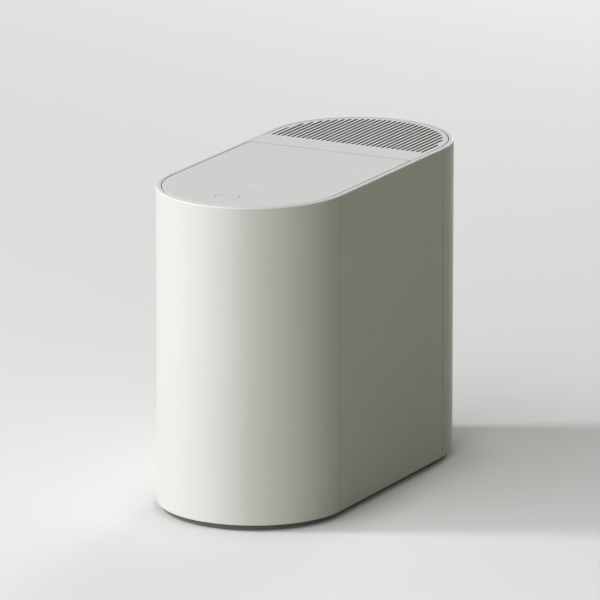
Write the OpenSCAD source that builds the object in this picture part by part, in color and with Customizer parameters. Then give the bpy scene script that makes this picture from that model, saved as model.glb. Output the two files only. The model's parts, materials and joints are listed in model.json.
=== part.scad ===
// Electric food waste composter: a stadium-shaped casing with a flush hinged lid, a lift-out pot
// with a driven rotor, and a carbon filter under a slotted grille. Front is -Y, up is +Z, and the
// origin lies on the floor under the middle of the body.

/* [Body] */
// Width over the flat sides
body_w = 180; // [178:1:186]
// Length from front to back
body_d = 390; // [386:1:400]
// Height from the floor to the top face
body_h = 306; // [304:1:312]
// Wall of the outer shells
shell_t = 2.6; // [2.2:0.1:3]
// Height of the shells' lower edge above the floor
skirt_z = 6; // [5.5:0.5:8]
// How far the plinth stands in from the shells
plinth_in = 4; // [3.5:0.5:6]
// Height of the feet below the plinth
foot_h = 1.5; // [1:0.5:2]
// Radius of a foot
foot_r = 9; // [7:1:11]
// Floor of the base tray
tray_t = 2.5; // [2:0.5:3]
// Open seam between neighbouring shells
seam_w = 0.4; // [0.2:0.1:0.6]
// Rounding of the outer top edge
edge_r = 1.5; // [1:0.25:2]

/* [Lid and top] */
// Width of the fixed rim around the top
rim_w = 4.7; // [4.5:0.1:5.5]
// Gap between the rim and the covers
cover_gap = 0.8; // [0.6:0.1:1]
// Thickness of the lid, band and grille skins
skin_t = 3; // [2.5:0.25:3.5]
// Lid's rear edge, measured from the back of the body
lid_back = 149; // [147:1:151]
// Depth of the fixed band over the hinges
band_w = 32.7; // [32:0.1:34]
// Seam between the band and the grille
grille_seam = 0.3; // [0.2:0.1:0.6]
// Gap between the lid liner and the top frame's deck
lid_lift = 4; // [3.6:0.2:5]
// Thickness of the top frame's deck
deck_t = 3; // [2.5:0.5:4]
// Depth of the deck below the top face
deck_drop = 19; // [18.5:0.5:20]
// Radius of the lid button
button_r = 11.2; // [9:0.2:12]
// Button's centre, measured from the front of the body
button_front = 38; // [37:0.5:39]
// How far the button travels
button_travel = 1.5; // [1:0.1:1.5]
// Indicator's centre, measured from the front of the body
lens_front = 90; // [85:1:100]
// Width of the indicator
lens_w = 11; // [8:0.5:14]

/* [Grille] */
// Distance between slots
slot_pitch = 5.26; // [4.5:0.02:5.3]
// Width of a slot
slot_w = 2.26; // [1.6:0.02:2.6]
// Land between the slots' rear ends and the body's outer face
slot_land = 10.4; // [9.5:0.1:14]
// Land in front of the slots
slot_front = 1.2; // [1:0.1:4]

/* [Chamber and pot] */
// Chamber's axis behind the centre of the front arc
chamber_back = 7; // [6.5:0.5:8]
// Space between the shells and the chamber well
well_gap = 12.9; // [12.5:0.1:13.9]
// Wall of the chamber well
well_t = 2; // [1.5:0.25:2.25]
// Underside of the chamber well
well_z = 110; // [108:1:112]
// Thickness of the heater plate
heater_t = 6; // [4:0.5:7]
// Space between the well and the pot
pot_gap = 2.5; // [2:0.25:3.5]
// Wall of the pot
pot_t = 3; // [2.5:0.25:3.5]
// Depth of the pot's rim below the top frame's deck
pot_drop = 15; // [14:0.5:20]
// Radius of the space under the pot for the couplers
dome_r = 22; // [20:0.5:24]
// Wire radius of the pot's bail
bail_wire_r = 2; // [1.6:0.1:2.2]

/* [Drive] */
// Height of the gear case's underside
case_z = 66; // [62:1:68]
// Teeth of the output gear
output_teeth = 60; // [56:1:62]
// Teeth of the idler's small gear
idler_small_teeth = 18; // [18:1:20]
// Module of the output pair
output_module = 1.25; // [1.2:0.05:1.25]
// Teeth of the idler's large gear
idler_large_teeth = 48; // [44:1:48]
// Teeth of the motor pinion
pinion_teeth = 17; // [17:1:18]
// Module of the input pair
input_module = 1; // [0.9:0.05:1]
// Face width of the output pair
output_face = 8; // [7:0.5:9]
// Face width of the input pair
input_face = 6; // [5:0.5:7]
// Radius of the output shaft
shaft_r = 5; // [4.5:0.25:5.5]
// Radius of the motor
motor_r = 28; // [26:0.5:28.5]
// Length of the motor
motor_l = 46; // [40:1:48]

/* [Exhaust and filter] */
// Radius of the fan's impeller
fan_r = 28; // [25:0.5:29]
// Height of the fan's casing
fan_h = 26; // [24:1:28]
// Number of impeller blades
blade_n = 18; // [12:1:24]
// Half the width of the filter cartridge
filter_half_w = 46; // [42:0.5:46.5]
// Space between the back of the body and the filter bay
bay_rear = 27; // [26:0.5:32]
// Height of the filter cartridge
filter_h = 60; // [50:1:62]
// Height of the air space under the filter
plenum_h = 36; // [34:1:40]

/* [Fasteners and fits] */
// Radius of every screw's shank
screw_r = 1.5; // [1.25:0.05:1.6]
// Radius of every screw's head
head_r = 3; // [2.6:0.1:3.1]
// Height of every screw's head
head_h = 1.5; // [1.2:0.1:1.6]
// Radius of the hinge pins
hinge_pin_r = 2; // [1.75:0.05:2.2]
// Gap between pieces that lie against each other
fit = 0.3; // [0.2:0.05:0.4]
// Radial clearance of a shaft or screw in its hole
run = 0.05; // [0.02:0.01:0.08]

/* [Hidden] */
$fn = 96;

eps = 0.01;
shell_colour = [0.83, 0.83, 0.8];
dark_colour = [0.2, 0.2, 0.2];
inner_colour = [0.55, 0.56, 0.56];
steel_colour = [0.75, 0.76, 0.78];
dull_colour = [0.62, 0.62, 0.6];
brass_colour = [0.78, 0.62, 0.3];
rubber_colour = [0.12, 0.12, 0.12];
board_colour = [0.1, 0.35, 0.2];

// Plan of the body: two half circles joined by flat sides
half_w = body_w / 2;
arc_y = body_d / 2 - half_w;
front_y = -body_d / 2;
back_y = body_d / 2;

// Stack of the lower parts
tray_top = skirt_z + tray_t;
wall_in = shell_t + fit;
rib_t = 2.5;
lug_z = tray_top + 3.5;
lug_h = 8;
lug_w = 10;
foot_lug_l = 18;
top_lug_l = 10;
front_lug_turn = 50;
rear_lug_turn = 60;
panel_lug_y = arc_y - 35;

// Stack of the top
deck_top = body_h - deck_drop;
deck_z = deck_top - deck_t;
lip_z = body_h - 6;
frame_t = rim_w - wall_in - 0.1;
cover_in = rim_w + cover_gap;
skin_z = body_h - skin_t;
flange_z = lip_z - 3;
flange_t = 2;
liner_z = deck_top + lid_lift;
liner_t = 3;
liner_top = liner_z + liner_t;
liner_in = cover_in + flange_t + 1.5;

// Lines across the top, from the lid's rear edge backwards
lid_y = back_y - lid_back;
band_y = lid_y + cover_gap;
band_back_y = band_y + band_w;
grille_y = band_back_y + grille_seam;

// Hinge: a pair of swan-necked arms that turn below the band
hinge_x = half_w - 35;
hinge_y = lid_y + 18;
hinge_z = deck_top + 5;
arm_w = 5;
arm_half = 2.5;
arm_eye_r = 4.5;
arm_path = [[0, 0], [-9, -22], [-28, -20], [-36, -6], [-36, liner_top + 2 - hinge_z]];
arm_foot_w = 9;
arm_foot_t = 2.5;
cheek_t = 2;

// Chamber axis and the stack inside the chamber
chamber_y = -arc_y + chamber_back;
well_out = half_w - shell_t - well_gap;
well_r = well_out - well_t;
pot_r = well_r - pot_gap;
well_floor = well_z + 2;
well_flange_r = well_out + 5.5;
well_flange_t = 1.2;
heater_top = well_floor + heater_t;
pot_z = heater_top + fit;
pot_top = deck_top - pot_drop;
pot_in = pot_r - pot_t;
pot_floor = pot_z + pot_t;
dome_top = pot_z + 20.7;
port_w = 30;
port_y = chamber_y + well_r - 12.5;
port_z = pot_top + 1.5;
port_h = deck_z - 1 - port_z;
gasket_in = well_out + 1;
gasket_out = well_flange_r - 1;

// Rotor in the pot
rotor_shaft_r = 4;
bush_r = 7;
coupler_r = 14;
coupler_t = 4;
dog_h = 6;
dog_turn = 52;
drive_dog_z = heater_top + 1;
pot_dog_z = drive_dog_z + coupler_t + dog_h + 0.5;
hub_r = 9;
hub_z = dome_top + 2.5;
sweep_top = hub_z + 10.5;
fixed_z = sweep_top + 1.2;
fixed_h = 5;
upper_z = fixed_z + fixed_h + 1.8;
hub_top = upper_z + 14;
blade_t = 7;
bail_r = pot_r - 1;
bail_z = pot_top + bail_wire_r + 0.5;
bail_ear_w = 3.4;
bail_ear_x = bail_r - bail_wire_r - 0.6 - bail_ear_w;

// Gear train, front to back: output gear, idler, motor pinion
output_pitch_r = output_teeth * output_module / 2;
small_pitch_r = idler_small_teeth * output_module / 2;
large_pitch_r = idler_large_teeth * input_module / 2;
pinion_pitch_r = pinion_teeth * input_module / 2;
idler_y = chamber_y + output_pitch_r + small_pitch_r;
motor_y = idler_y + large_pitch_r + pinion_pitch_r;
case_wall = 3;
case_floor = case_z + 3;
input_z = case_floor + 2.5;
output_z = input_z + input_face + 3;
case_top = output_z + output_face + 3;
case_cover_t = 3;
bearing_r = 11;
bearing_w = 7;
idler_pin_r = 3;
motor_shaft_r = 3;
pocket_gap = 2;
output_pocket_r = output_pitch_r + output_module + pocket_gap;
idler_pocket_r = large_pitch_r + input_module + pocket_gap;
pinion_pocket_r = pinion_pitch_r + input_module + pocket_gap;
case_half_w = max(idler_pocket_r + case_wall, motor_r + 1);
case_feet = [for (s = [-1, 1]) each [[s * (output_pocket_r + case_wall + 5), chamber_y],
    [s * (case_half_w + 5), motor_y - 4]]];
case_bosses = [for (s = [-1, 1]) each [[s * (output_pocket_r + 4) * cos(30),
    chamber_y - (output_pocket_r + 4) * sin(30)], [s * (case_half_w + 2.5), idler_y]]];
case_foot_r = 7;
case_boss_r = 5;
case_screw_l = 12;

// Exhaust path: well port, duct, fan, filter bay
bay_t = 2;
fan_case_r = fan_r + 8;
fan_y = chamber_y + well_out + 12.5 + fan_case_r;
bay_y = max(grille_y + 8.2, fan_y + fan_case_r + 2);
bay_half_w = filter_half_w + 1 + bay_t;
bay_back = back_y - bay_rear;
filter_y = bay_y + 2 * bay_t;
filter_d = bay_back - bay_y - 4 * bay_t;
filter_top = flange_z - 1;
filter_z = filter_top - filter_h;
bay_z = filter_z - plenum_h;
fan_z = bay_z + 6;
fan_top = fan_z + fan_h;
fan_t = 2;
fan_inlet_r = 16;
fan_motor_r = 16;
fan_motor_h = 18;
fan_boss_r = 12;
fan_shaft_r = 2;
fan_shaft_l = 14;
fan_hub_r = 9;
fan_hub_h = 10;
blade_l = 10.5;
blade_w = 1.6;
blade_lean = 12;
duct_t = 1.5;
duct_z = port_z - duct_t - 6;
fan_post_x = fan_case_r + 6;
fan_post_y = 14;
outlet_x = -fan_case_r + fan_t;
outlet_w = 26;

// Latch: a hook that turns on a pin in the lid, pushed by the button
button_y = front_y + button_front;
latch_arm = 17.5;
latch_y = button_y - latch_arm;
latch_z = liner_top + 3.3;
hook_y = latch_y - 8.5;
hook_w = 16;
hook_t = 3.5;
keeper_t = 2;
keeper_y = hook_y + hook_t + 0.1;
hook_grip = 1.1;
hook_drop = 0.6;
spring_wire_r = 0.3;
spring_r = 7;
spring_turns = 3;

// Places for screws through the lid liner and through the hinge brackets
lid_screw_r = gasket_in - 10;
lid_screw_turn = 47;
lid_screw_places = [for (s = [-1, 1]) each [
    [s * lid_screw_r * sin(lid_screw_turn), chamber_y - lid_screw_r * cos(lid_screw_turn)],
    [s * lid_screw_r * sin(lid_screw_turn), chamber_y + lid_screw_r * cos(lid_screw_turn)],
    [s * (half_w - 20), lid_y - 46]]];
lid_screw_l = 7;

// Points along an arc, for the rounded corners of profiles
function arc(cx, cz, r, from, to, n = 6) =
    [for (i = [0:n]) [cx + r * cos(from + (to - from) * i / n), cz + r * sin(from + (to - from) * i / n)]];

module stadium(inset) {
    for (s = [-1, 1])
        translate([0, s * arc_y]) circle(r = half_w - inset);
    square([2 * (half_w - inset), 2 * arc_y], center = true);
}

module slab(inset, z0, z1)
    translate([0, 0, z0]) linear_extrude(z1 - z0) stadium(inset);

module band(outer, inner, z0, z1)
    translate([0, 0, z0]) linear_extrude(z1 - z0) difference() {
        stadium(outer);
        stadium(inner);
    }

// Keeps what lies in front of the line y, or behind it
module in_front_of(y)
    intersection() {
        children();
        translate([-half_w, y - body_d]) square([body_w, body_d]);
    }

module behind(y)
    intersection() {
        children();
        translate([-half_w, y]) square([body_w, body_d]);
    }

module block(x0, x1, y0, y1, z0, z1)
    translate([x0, y0, z0]) cube([x1 - x0, y1 - y0, z1 - z0]);

module post(p, r, z0, z1)
    translate([p[0], p[1], z0]) cylinder(r = r, h = z1 - z0);

module both_sides() {
    children();
    mirror([1, 0, 0]) children();
}

// A screw whose head's underside is at z, pointing down
module screw(p, z, l) {
    post(p, screw_r, z - l, z + eps);
    post(p, head_r, z, z + head_h);
}

module at_chamber()
    translate([0, chamber_y, 0]) children();

// Wall, rounded top edge and inward rim of the shells
module shell_profile()
    polygon(concat([[half_w, skirt_z]], arc(half_w - edge_r, body_h - edge_r, edge_r, 0, 90),
        [[half_w - rim_w, body_h], [half_w - rim_w, lip_z], [half_w - shell_t, lip_z],
         [half_w - shell_t, skirt_z]]));

// Inward lug on a wall that stands at x = half_w, with its screw hole
module wall_lug(l, z0)
    difference() {
        block(half_w - shell_t - l, half_w - shell_t + 1, -lug_w / 2, lug_w / 2, z0, z0 + lug_h);
        post([half_w - shell_t - l / 2, 0], screw_r + run, z0 - 1, z0 + lug_h + 1);
    }

module wall_lugs() {
    wall_lug(foot_lug_l, lug_z);
    wall_lug(top_lug_l, deck_z - lug_h);
}

// Places of the screws in lugs of length l
function lug_places(l) = let(r = half_w - shell_t - l / 2) [for (s = [-1, 1]) each [
    [s * r * sin(front_lug_turn), -arc_y - r * cos(front_lug_turn)],
    [s * r * sin(rear_lug_turn), arc_y + r * cos(rear_lug_turn)],
    [s * r, -panel_lug_y], [s * r, panel_lug_y]]];

module end_shell(turn) {
    rotate_extrude(angle = 180) shell_profile();
    for (s = [-1, 1])
        rotate([0, 0, 90 + s * turn]) wall_lugs();
}

module side_panel() {
    translate([0, arc_y - seam_w, 0]) rotate([90, 0, 0])
        linear_extrude(2 * (arc_y - seam_w)) shell_profile();
    for (s = [-1, 1])
        translate([0, s * panel_lug_y, 0]) wall_lugs();
}

module front_shell() color(shell_colour)
    translate([0, -arc_y, 0]) rotate([0, 0, 180]) end_shell(front_lug_turn);

// The rear shell has a cut-out for the mains inlet and a row of low air slots
inlet_half_w = 14;
inlet_z = 25;
inlet_h = 26;
inlet_gap = 0.1;
air_slot_n = 7;
air_slot_pitch = 9;
air_slot_z = 70;
air_slot_h = 3;
air_slot_half_w = 22;
shell_cut_y = back_y - 30;
module rear_shell() color(shell_colour)
    difference() {
        translate([0, arc_y, 0]) end_shell(rear_lug_turn);
        block(-inlet_half_w - inlet_gap, inlet_half_w + inlet_gap, shell_cut_y, back_y + 1,
            inlet_z - inlet_gap, inlet_z + inlet_h + inlet_gap);
        for (i = [0:air_slot_n - 1])
            translate([0, 0, air_slot_z + i * air_slot_pitch])
                block(-air_slot_half_w, air_slot_half_w, shell_cut_y, back_y + 1, 0, air_slot_h);
    }

module right_panel() color(shell_colour) side_panel();

module left_panel() color(shell_colour) mirror([1, 0, 0]) side_panel();

foot_side = 38;
foot_end = 62;
foot_places = [for (sx = [-1, 1], sy = [-1, 1]) [sx * (half_w - foot_side), sy * (back_y - foot_end)]];

// Air slots in the tray, behind the motor
tray_slot_n = 9;
tray_slot_pitch = 7;
tray_slot_w = 3;
tray_slot_half_l = 30;
tray_slot_y = motor_y + 32;

module base_tray() color(dark_colour)
    difference() {
        union() {
            band(plinth_in, plinth_in + rib_t, foot_h, skirt_z + eps);
            slab(wall_in, skirt_z, tray_top);
            band(wall_in, wall_in + rib_t, tray_top - eps, lug_z);
            for (p = lug_places(foot_lug_l))
                post(p, 5, tray_top - eps, lug_z);
            for (p = case_feet)
                post(p, 6, tray_top - eps, case_z);
        }
        for (p = lug_places(foot_lug_l))
            post(p, screw_r + run, foot_h, lug_z + 1);
        for (p = case_feet)
            post(p, screw_r + run, case_z - 14, case_z + 1);
        for (i = [0:tray_slot_n - 1])
            translate([0, tray_slot_y + i * tray_slot_pitch, 0])
                block(-tray_slot_half_l, tray_slot_half_l, 0, tray_slot_w, foot_h, tray_top + 1);
    }

module feet() color(rubber_colour)
    for (p = foot_places)
        post(p, foot_r, 0, skirt_z);

module base_screws() color(steel_colour)
    for (p = lug_places(foot_lug_l)) {
        post(p, screw_r, skirt_z - eps, lug_z + 6);
        post(p, head_r, skirt_z - head_h, skirt_z);
    }

module top_screws() color(steel_colour)
    for (p = lug_places(top_lug_l))
        screw(p, deck_top - head_h, 7);

fan_posts = [for (sx = [-1, 1], sy = [-1, 1]) [sx * fan_post_x, fan_y + sy * fan_post_y]];
bracket_screw_places = [for (s = [-1, 1]) [s * hinge_x, hinge_y + 12]];

module top_frame() color(inner_colour)
    difference() {
        union() {
            slab(wall_in, deck_z, deck_top);
            band(wall_in, wall_in + frame_t, deck_top - eps, lip_z);
            for (p = fan_posts)
                post(p, 3.5, fan_top, deck_z + eps);
        }
        post([0, chamber_y], well_out + fit, deck_z - 1, deck_top + 1);
        block(-bay_half_w + bay_t, bay_half_w - bay_t, bay_y + bay_t, bay_back - bay_t, deck_z - 1,
            deck_top + 1);
        for (s = [-1, 1])
            block(s * hinge_x - 4, s * hinge_x + 4, hinge_y - 39.5, hinge_y + 5.5, deck_z - 1, deck_top + 1);
        block(-hook_w / 2 - 1.5, hook_w / 2 + 1.5, hook_y - 3, keeper_y + 0.4, deck_z - 1, deck_top + 1);
        for (p = lug_places(top_lug_l)) {
            post(p, screw_r + run, deck_z - 1, deck_top + 1);
            post(p, head_r + run, deck_top - head_h, deck_top + 1);
        }
        for (p = bracket_screw_places)
            post(p, screw_r + run, deck_z - 1, deck_top + 1);
    }

// Upright wall between the drive and the electronics, with four stand-offs for the board
wall_gap = 14.75;
wall_side = 12;
wall_foot_x = 50;
wall_foot_w = 12;
wall_foot_d = 16;
wall_y = motor_y + case_half_w + wall_gap;
wall_top = bay_z - 40;
standoff_l = 5;
standoff_r = 3;
board_t = 1.6;
board_y = wall_y + rib_t + standoff_l;
board_z = 45;
board_h = wall_top - 20 - board_z;
board_half_w = 52;
board_inset = 6;
board_posts = [for (sx = [-1, 1], z = [board_z + board_inset, board_z + board_h - board_inset])
    [sx * (board_half_w - board_inset), z]];

module partition_wall() color(inner_colour) {
    block(-half_w + wall_side, half_w - wall_side, wall_y, wall_y + rib_t, tray_top, wall_top);
    for (s = [-1, 1])
        block(s * wall_foot_x - wall_foot_w, s * wall_foot_x + wall_foot_w, wall_y, wall_y + wall_foot_d,
            tray_top, tray_top + rib_t);
    for (p = board_posts)
        translate([p[0], wall_y + rib_t - eps, p[1]]) rotate([-90, 0, 0])
            cylinder(r = standoff_r, h = board_y - wall_y - rib_t + eps);
}

// Boxes on the board as [x, height above the board's foot, width, height, depth]: transformer, relay, chip
board_boxes = [[-40, 14, 28, 28, 24], [2, 16, 18, 18, 16], [-38, 56, 50, 18, 4]];
// Capacitors on the board as [x, height of the axis above the board's foot]
capacitor_r = 6;
capacitor_l = 19;
capacitors = [for (i = [0:2]) [30, 24 + i * 20]];

module control_board() color(board_colour)
    difference() {
        union() {
            block(-board_half_w, board_half_w, board_y, board_y + board_t, board_z, board_z + board_h);
            for (b = board_boxes)
                block(b[0], b[0] + b[2], board_y + board_t - eps, board_y + b[4], board_z + b[1],
                    board_z + b[1] + b[3]);
            for (p = capacitors)
                translate([p[0], board_y + board_t - eps, board_z + p[1]]) rotate([-90, 0, 0])
                    cylinder(r = capacitor_r, h = capacitor_l);
        }
        for (p = board_posts)
            translate([p[0], board_y - 1, p[1]]) rotate([-90, 0, 0]) cylinder(r = screw_r, h = board_t + 2);
    }

// Mains inlet for a three-pin appliance coupler, on its own foot
inlet_face_y = back_y - 1.8;
inlet_back_y = back_y - 22;
inlet_flange_y = back_y - 8;
inlet_flange_t = 2.4;
inlet_flange_w = 5;
inlet_mid_z = inlet_z + inlet_h / 2;
socket_y = back_y - 17;
socket_half_w = 12;
socket_half_h = 8.2;
socket_corner = 4;
pin_l = 14;
pin_places = [[-7, -2], [0, 2], [7, -2]];
module power_inlet() color(dark_colour) {
    difference() {
        union() {
            block(-inlet_half_w, inlet_half_w, inlet_back_y, inlet_face_y, inlet_z, inlet_z + inlet_h);
            block(-inlet_half_w - inlet_flange_w, inlet_half_w + inlet_flange_w, inlet_flange_y,
                inlet_flange_y + inlet_flange_t, inlet_z - inlet_flange_w, inlet_z + inlet_h + inlet_flange_w);
            block(-10, 10, inlet_back_y + 2, inlet_flange_y, tray_top, inlet_z + eps);
        }
        translate([0, back_y, inlet_mid_z]) rotate([90, 0, 0]) linear_extrude(back_y - socket_y)
            polygon([[-socket_half_w, -socket_half_h], [socket_half_w, -socket_half_h],
                [socket_half_w, socket_half_h - socket_corner], [socket_half_w - socket_corner, socket_half_h],
                [-socket_half_w + socket_corner, socket_half_h],
                [-socket_half_w, socket_half_h - socket_corner]]);
    }
    for (p = pin_places)
        translate([p[0], socket_y - 1, inlet_mid_z + p[1]]) block(-1, 1, 0, pin_l, -2, 2);
}

// Fixed band over the hinges, on four legs
module hinge_cover() color(shell_colour) {
    translate([0, 0, skin_z]) linear_extrude(skin_t)
        behind(band_y) in_front_of(band_back_y) stadium(rim_w + 0.3);
    for (s = [-1, 1]) {
        block(s * 24 - 3, s * 24 + 3, band_back_y - 10, band_back_y - 4, deck_top, skin_z + eps);
        block(s * (half_w - 18) - 3, s * (half_w - 18) + 3, band_back_y - 20, band_back_y - 14, deck_top,
            skin_z + eps);
    }
}

module hinge_brackets() color(steel_colour)
    difference() {
        for (s = [-1, 1]) translate([s * hinge_x, hinge_y, 0]) {
            for (c = [-1, 1])
                translate([c * (arm_w / 2 + 0.5 + cheek_t / 2), 0, 0])
                    block(-cheek_t / 2, cheek_t / 2, -5, 16, deck_top, hinge_z + 4.5);
            block(-arm_w / 2 - 1, arm_w / 2 + 1, 6.5, 16, deck_top, deck_top + cheek_t);
        }
        for (s = [-1, 1])
            translate([s * hinge_x - 10, hinge_y, hinge_z]) rotate([0, 90, 0])
                cylinder(r = hinge_pin_r + run, h = 20);
        for (p = bracket_screw_places)
            post(p, screw_r + run, deck_top - 1, deck_top + cheek_t + 1);
    }

module hinge_pins() color(steel_colour)
    for (s = [-1, 1])
        translate([s * hinge_x - 6.5, hinge_y, hinge_z]) rotate([0, 90, 0])
            cylinder(r = hinge_pin_r, h = 13);

module bracket_screws() color(steel_colour)
    for (p = bracket_screw_places)
        screw(p, deck_top + cheek_t, 8);

// Unit normal of a path's leg i, and the point beside the path's corner i at distance h, mitred
function leg_normal(path, i) = let(d = path[i + 1] - path[i]) [-d[1], d[0]] / norm(d);
function beside(path, i, h) = let(last = len(path) - 1, a = leg_normal(path, max(i - 1, 0)),
    b = leg_normal(path, min(i, last - 1))) path[i] + h * (a + b) / (1 + a * b);

// One swan-necked arm: a bent strip with an eye at the pin and a foot on the liner
module hinge_arm(s) color(steel_colour)
    translate([s * hinge_x, hinge_y, hinge_z]) {
        last = len(arm_path) - 1;
        difference() {
            translate([-arm_w / 2, 0, 0]) rotate([90, 0, 90]) linear_extrude(arm_w) {
                circle(r = arm_eye_r);
                polygon(concat([for (i = [0:last]) beside(arm_path, i, arm_half)],
                    [for (i = [last:-1:0]) beside(arm_path, i, -arm_half)]));
            }
            translate([-arm_w, 0, 0]) rotate([0, 90, 0]) cylinder(r = hinge_pin_r + run, h = 2 * arm_w);
        }
        block(-arm_foot_w, arm_foot_w, -46, -30, liner_top - hinge_z, liner_top + arm_foot_t - hinge_z);
    }

module left_hinge_arm() hinge_arm(-1);

module right_hinge_arm() hinge_arm(1);

// Lid: an outer cover with an edge flange and screw bosses, and a liner that carries the gasket
guide_z = liner_top + 3 + button_travel;
lens_y = front_y + lens_front;
lens_d = 2.8;
lens_tail = 2;
lid_board_w = 20;
lid_board_d = 18;
lid_post_h = 2;
lamp_w = 6;
lamp_d = 2;
module lid_cover() color(shell_colour)
    difference() {
        union() {
            intersection() {
                slab(cover_in, skin_z, body_h);
                lid_rear_wedge();
            }
            translate([0, 0, flange_z]) linear_extrude(skin_z - flange_z + eps) in_front_of(lid_y - 5)
                difference() {
                    stadium(cover_in);
                    stadium(cover_in + flange_t);
                }
            for (p = lid_screw_places)
                post(p, 3.5, liner_top, skin_z + eps);
            post([0, button_y], button_r + fit + 1.5, guide_z, skin_z + eps);
        }
        post([0, button_y], button_r + fit, guide_z + 1, body_h + 1);
        post([0, button_y], 3 + run, guide_z - 1, guide_z + 2);
        block(-lens_w / 2 - 0.1, lens_w / 2 + 0.1, lens_y - lens_d / 2 - 0.1, lens_y + lens_d / 2 + 0.1,
            skin_z - 1, body_h + 1);
        for (p = lid_screw_places)
            post(p, screw_r + run, liner_top - 1, skin_z);
    }

// Half space in front of the lid's rear edge, which leans forward below its top
module lid_rear_wedge()
    translate([-half_w, 0, 0]) rotate([90, 0, 90]) linear_extrude(body_w)
        polygon([[front_y - 1, skin_z - 1], [lid_y - 2.7, skin_z - 1], [lid_y, body_h - 0.5],
            [lid_y, body_h + 1], [front_y - 1, body_h + 1]]);

module lid_liner() color(dull_colour)
    difference() {
        union() {
            translate([0, 0, liner_z]) linear_extrude(liner_t) in_front_of(lid_y - 5) stadium(liner_in);
            translate([0, 0, liner_top - eps]) linear_extrude(skin_z - liner_top + eps)
                in_front_of(lid_y - 5) difference() {
                    stadium(liner_in);
                    stadium(liner_in + 2);
                }
            for (s = [-1, 1])
                block(s * 10 - 1, s * 10 + 1, latch_y - 3, latch_y + 3, liner_top - eps, latch_z + 3);
            for (sx = [-1, 1], sy = [-1, 1])
                post([sx * (lid_board_w - 4), lens_y + sy * (lid_board_d - 4)], 2, liner_top - eps,
                    liner_top + lid_post_h);
        }
        at_chamber() translate([0, 0, liner_z - 1]) difference() {
            cylinder(r = gasket_out + 0.1, h = 2);
            translate([0, 0, -1]) cylinder(r = gasket_in - 0.1, h = 4);
        }
        block(-hook_w / 2 - 1, hook_w / 2 + 1, hook_y - 1.2, keeper_y + 0.9, liner_z - 1, liner_top + 1);
        for (s = [-1, 1]) {
            block(s * hinge_x - 3.2, s * hinge_x + 3.2, hinge_y - 39.5, hinge_y - 31.5, liner_z - 1,
                liner_top + 1);
            translate([s * 10 - 2, latch_y, latch_z]) rotate([0, 90, 0]) cylinder(r = 1.5 + run, h = 4);
        }
        for (p = lid_screw_places) {
            post(p, screw_r + run, liner_z - 1, liner_top + 1);
            post(p, head_r + run, liner_z - 1, liner_z + head_h);
        }
    }

module lid_gasket() color(rubber_colour)
    at_chamber() translate([0, 0, deck_top + well_flange_t + fit]) difference() {
        cylinder(r = gasket_out, h = liner_z + 1 - deck_top - well_flange_t - fit);
        translate([0, 0, -1]) cylinder(r = gasket_in, h = 10);
    }

module lid_screws() color(steel_colour)
    for (p = lid_screw_places) {
        post(p, screw_r, liner_z + head_h - eps, liner_z + head_h + lid_screw_l);
        post(p, head_r, liner_z, liner_z + head_h);
    }

module lid_board() color(board_colour) {
    board_low = liner_top + lid_post_h;
    translate([0, lens_y, board_low]) block(-lid_board_w, lid_board_w, -lid_board_d, lid_board_d, 0, board_t);
    translate([0, lens_y, 0])
        block(-lamp_w, lamp_w, -lamp_d, lamp_d, board_low + board_t - eps, skin_z - lens_tail - 0.2);
}

module status_lens() color([0.95, 0.95, 0.95])
    block(-lens_w / 2, lens_w / 2, lens_y - lens_d / 2, lens_y + lens_d / 2, skin_z - lens_tail, body_h);

module lid_button() color(shell_colour) {
    post([0, button_y], button_r, skin_z + 0.2, body_h);
    post([0, button_y], 3, guide_z - 0.2, skin_z + 0.2 + eps);
}

// Points and faces of a round wire wound as an open coil, with closed ends
coil_sides = 6;
coil_steps = 16;
module coil(r, wire, height, turns) {
    rings = turns * coil_steps;
    points = [for (i = [0:rings], k = [0:coil_sides - 1]) let(a = 360 * i / coil_steps,
        b = 360 * k / coil_sides, d = r + wire * cos(b))
        [d * cos(a), d * sin(a), wire + (height - 2 * wire) * i / rings + wire * sin(b)]];
    sides = [for (i = [0:rings - 1], k = [0:coil_sides - 1]) let(n = (k + 1) % coil_sides,
        p = i * coil_sides, q = p + coil_sides) each [[p + k, q + k, q + n], [p + k, q + n, p + n]]];
    caps = [for (k = [1:coil_sides - 2]) each [[0, k, k + 1],
        [rings * coil_sides, rings * coil_sides + k + 1, rings * coil_sides + k]]];
    polyhedron(points, concat(sides, caps));
}

module button_spring() color(steel_colour)
    translate([0, button_y, guide_z + 1])
        coil(spring_r, spring_wire_r, skin_z + 0.2 - guide_z - 1, spring_turns);

// Hook, hub and lever in one piece, with a bore for its pin
module latch_hook() color(steel_colour)
    difference() {
        union() {
            translate([-hook_w / 2, latch_y, latch_z]) rotate([0, 90, 0]) cylinder(r = 3, h = hook_w);
            block(-4, 4, latch_y, button_y + 2.5, guide_z - 2.5, guide_z - 0.5);
            block(-hook_w / 2, hook_w / 2, hook_y, latch_y, latch_z - 1.5, latch_z + 1.5);
            block(-hook_w / 2, hook_w / 2, hook_y, hook_y + hook_t, deck_z - keeper_t - 3, latch_z + 1.5);
            block(-hook_w / 2, hook_w / 2, hook_y, keeper_y + hook_grip, deck_z - keeper_t - 3,
                deck_z - keeper_t - hook_drop);
        }
        translate([-hook_w, latch_y, latch_z]) rotate([0, 90, 0]) cylinder(r = 1.5 + run, h = 2 * hook_w);
    }

module latch_pin() color(steel_colour)
    translate([-12, latch_y, latch_z]) rotate([0, 90, 0]) cylinder(r = 1.5, h = 24);

module latch_keeper() color(steel_colour)
    difference() {
        block(-hook_w / 2 - 5, hook_w / 2 + 5, keeper_y, keeper_y + 6, deck_z - keeper_t, deck_z);
        post([0, chamber_y], well_out + fit, deck_z - keeper_t - 1, deck_z + 1);
    }

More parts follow.
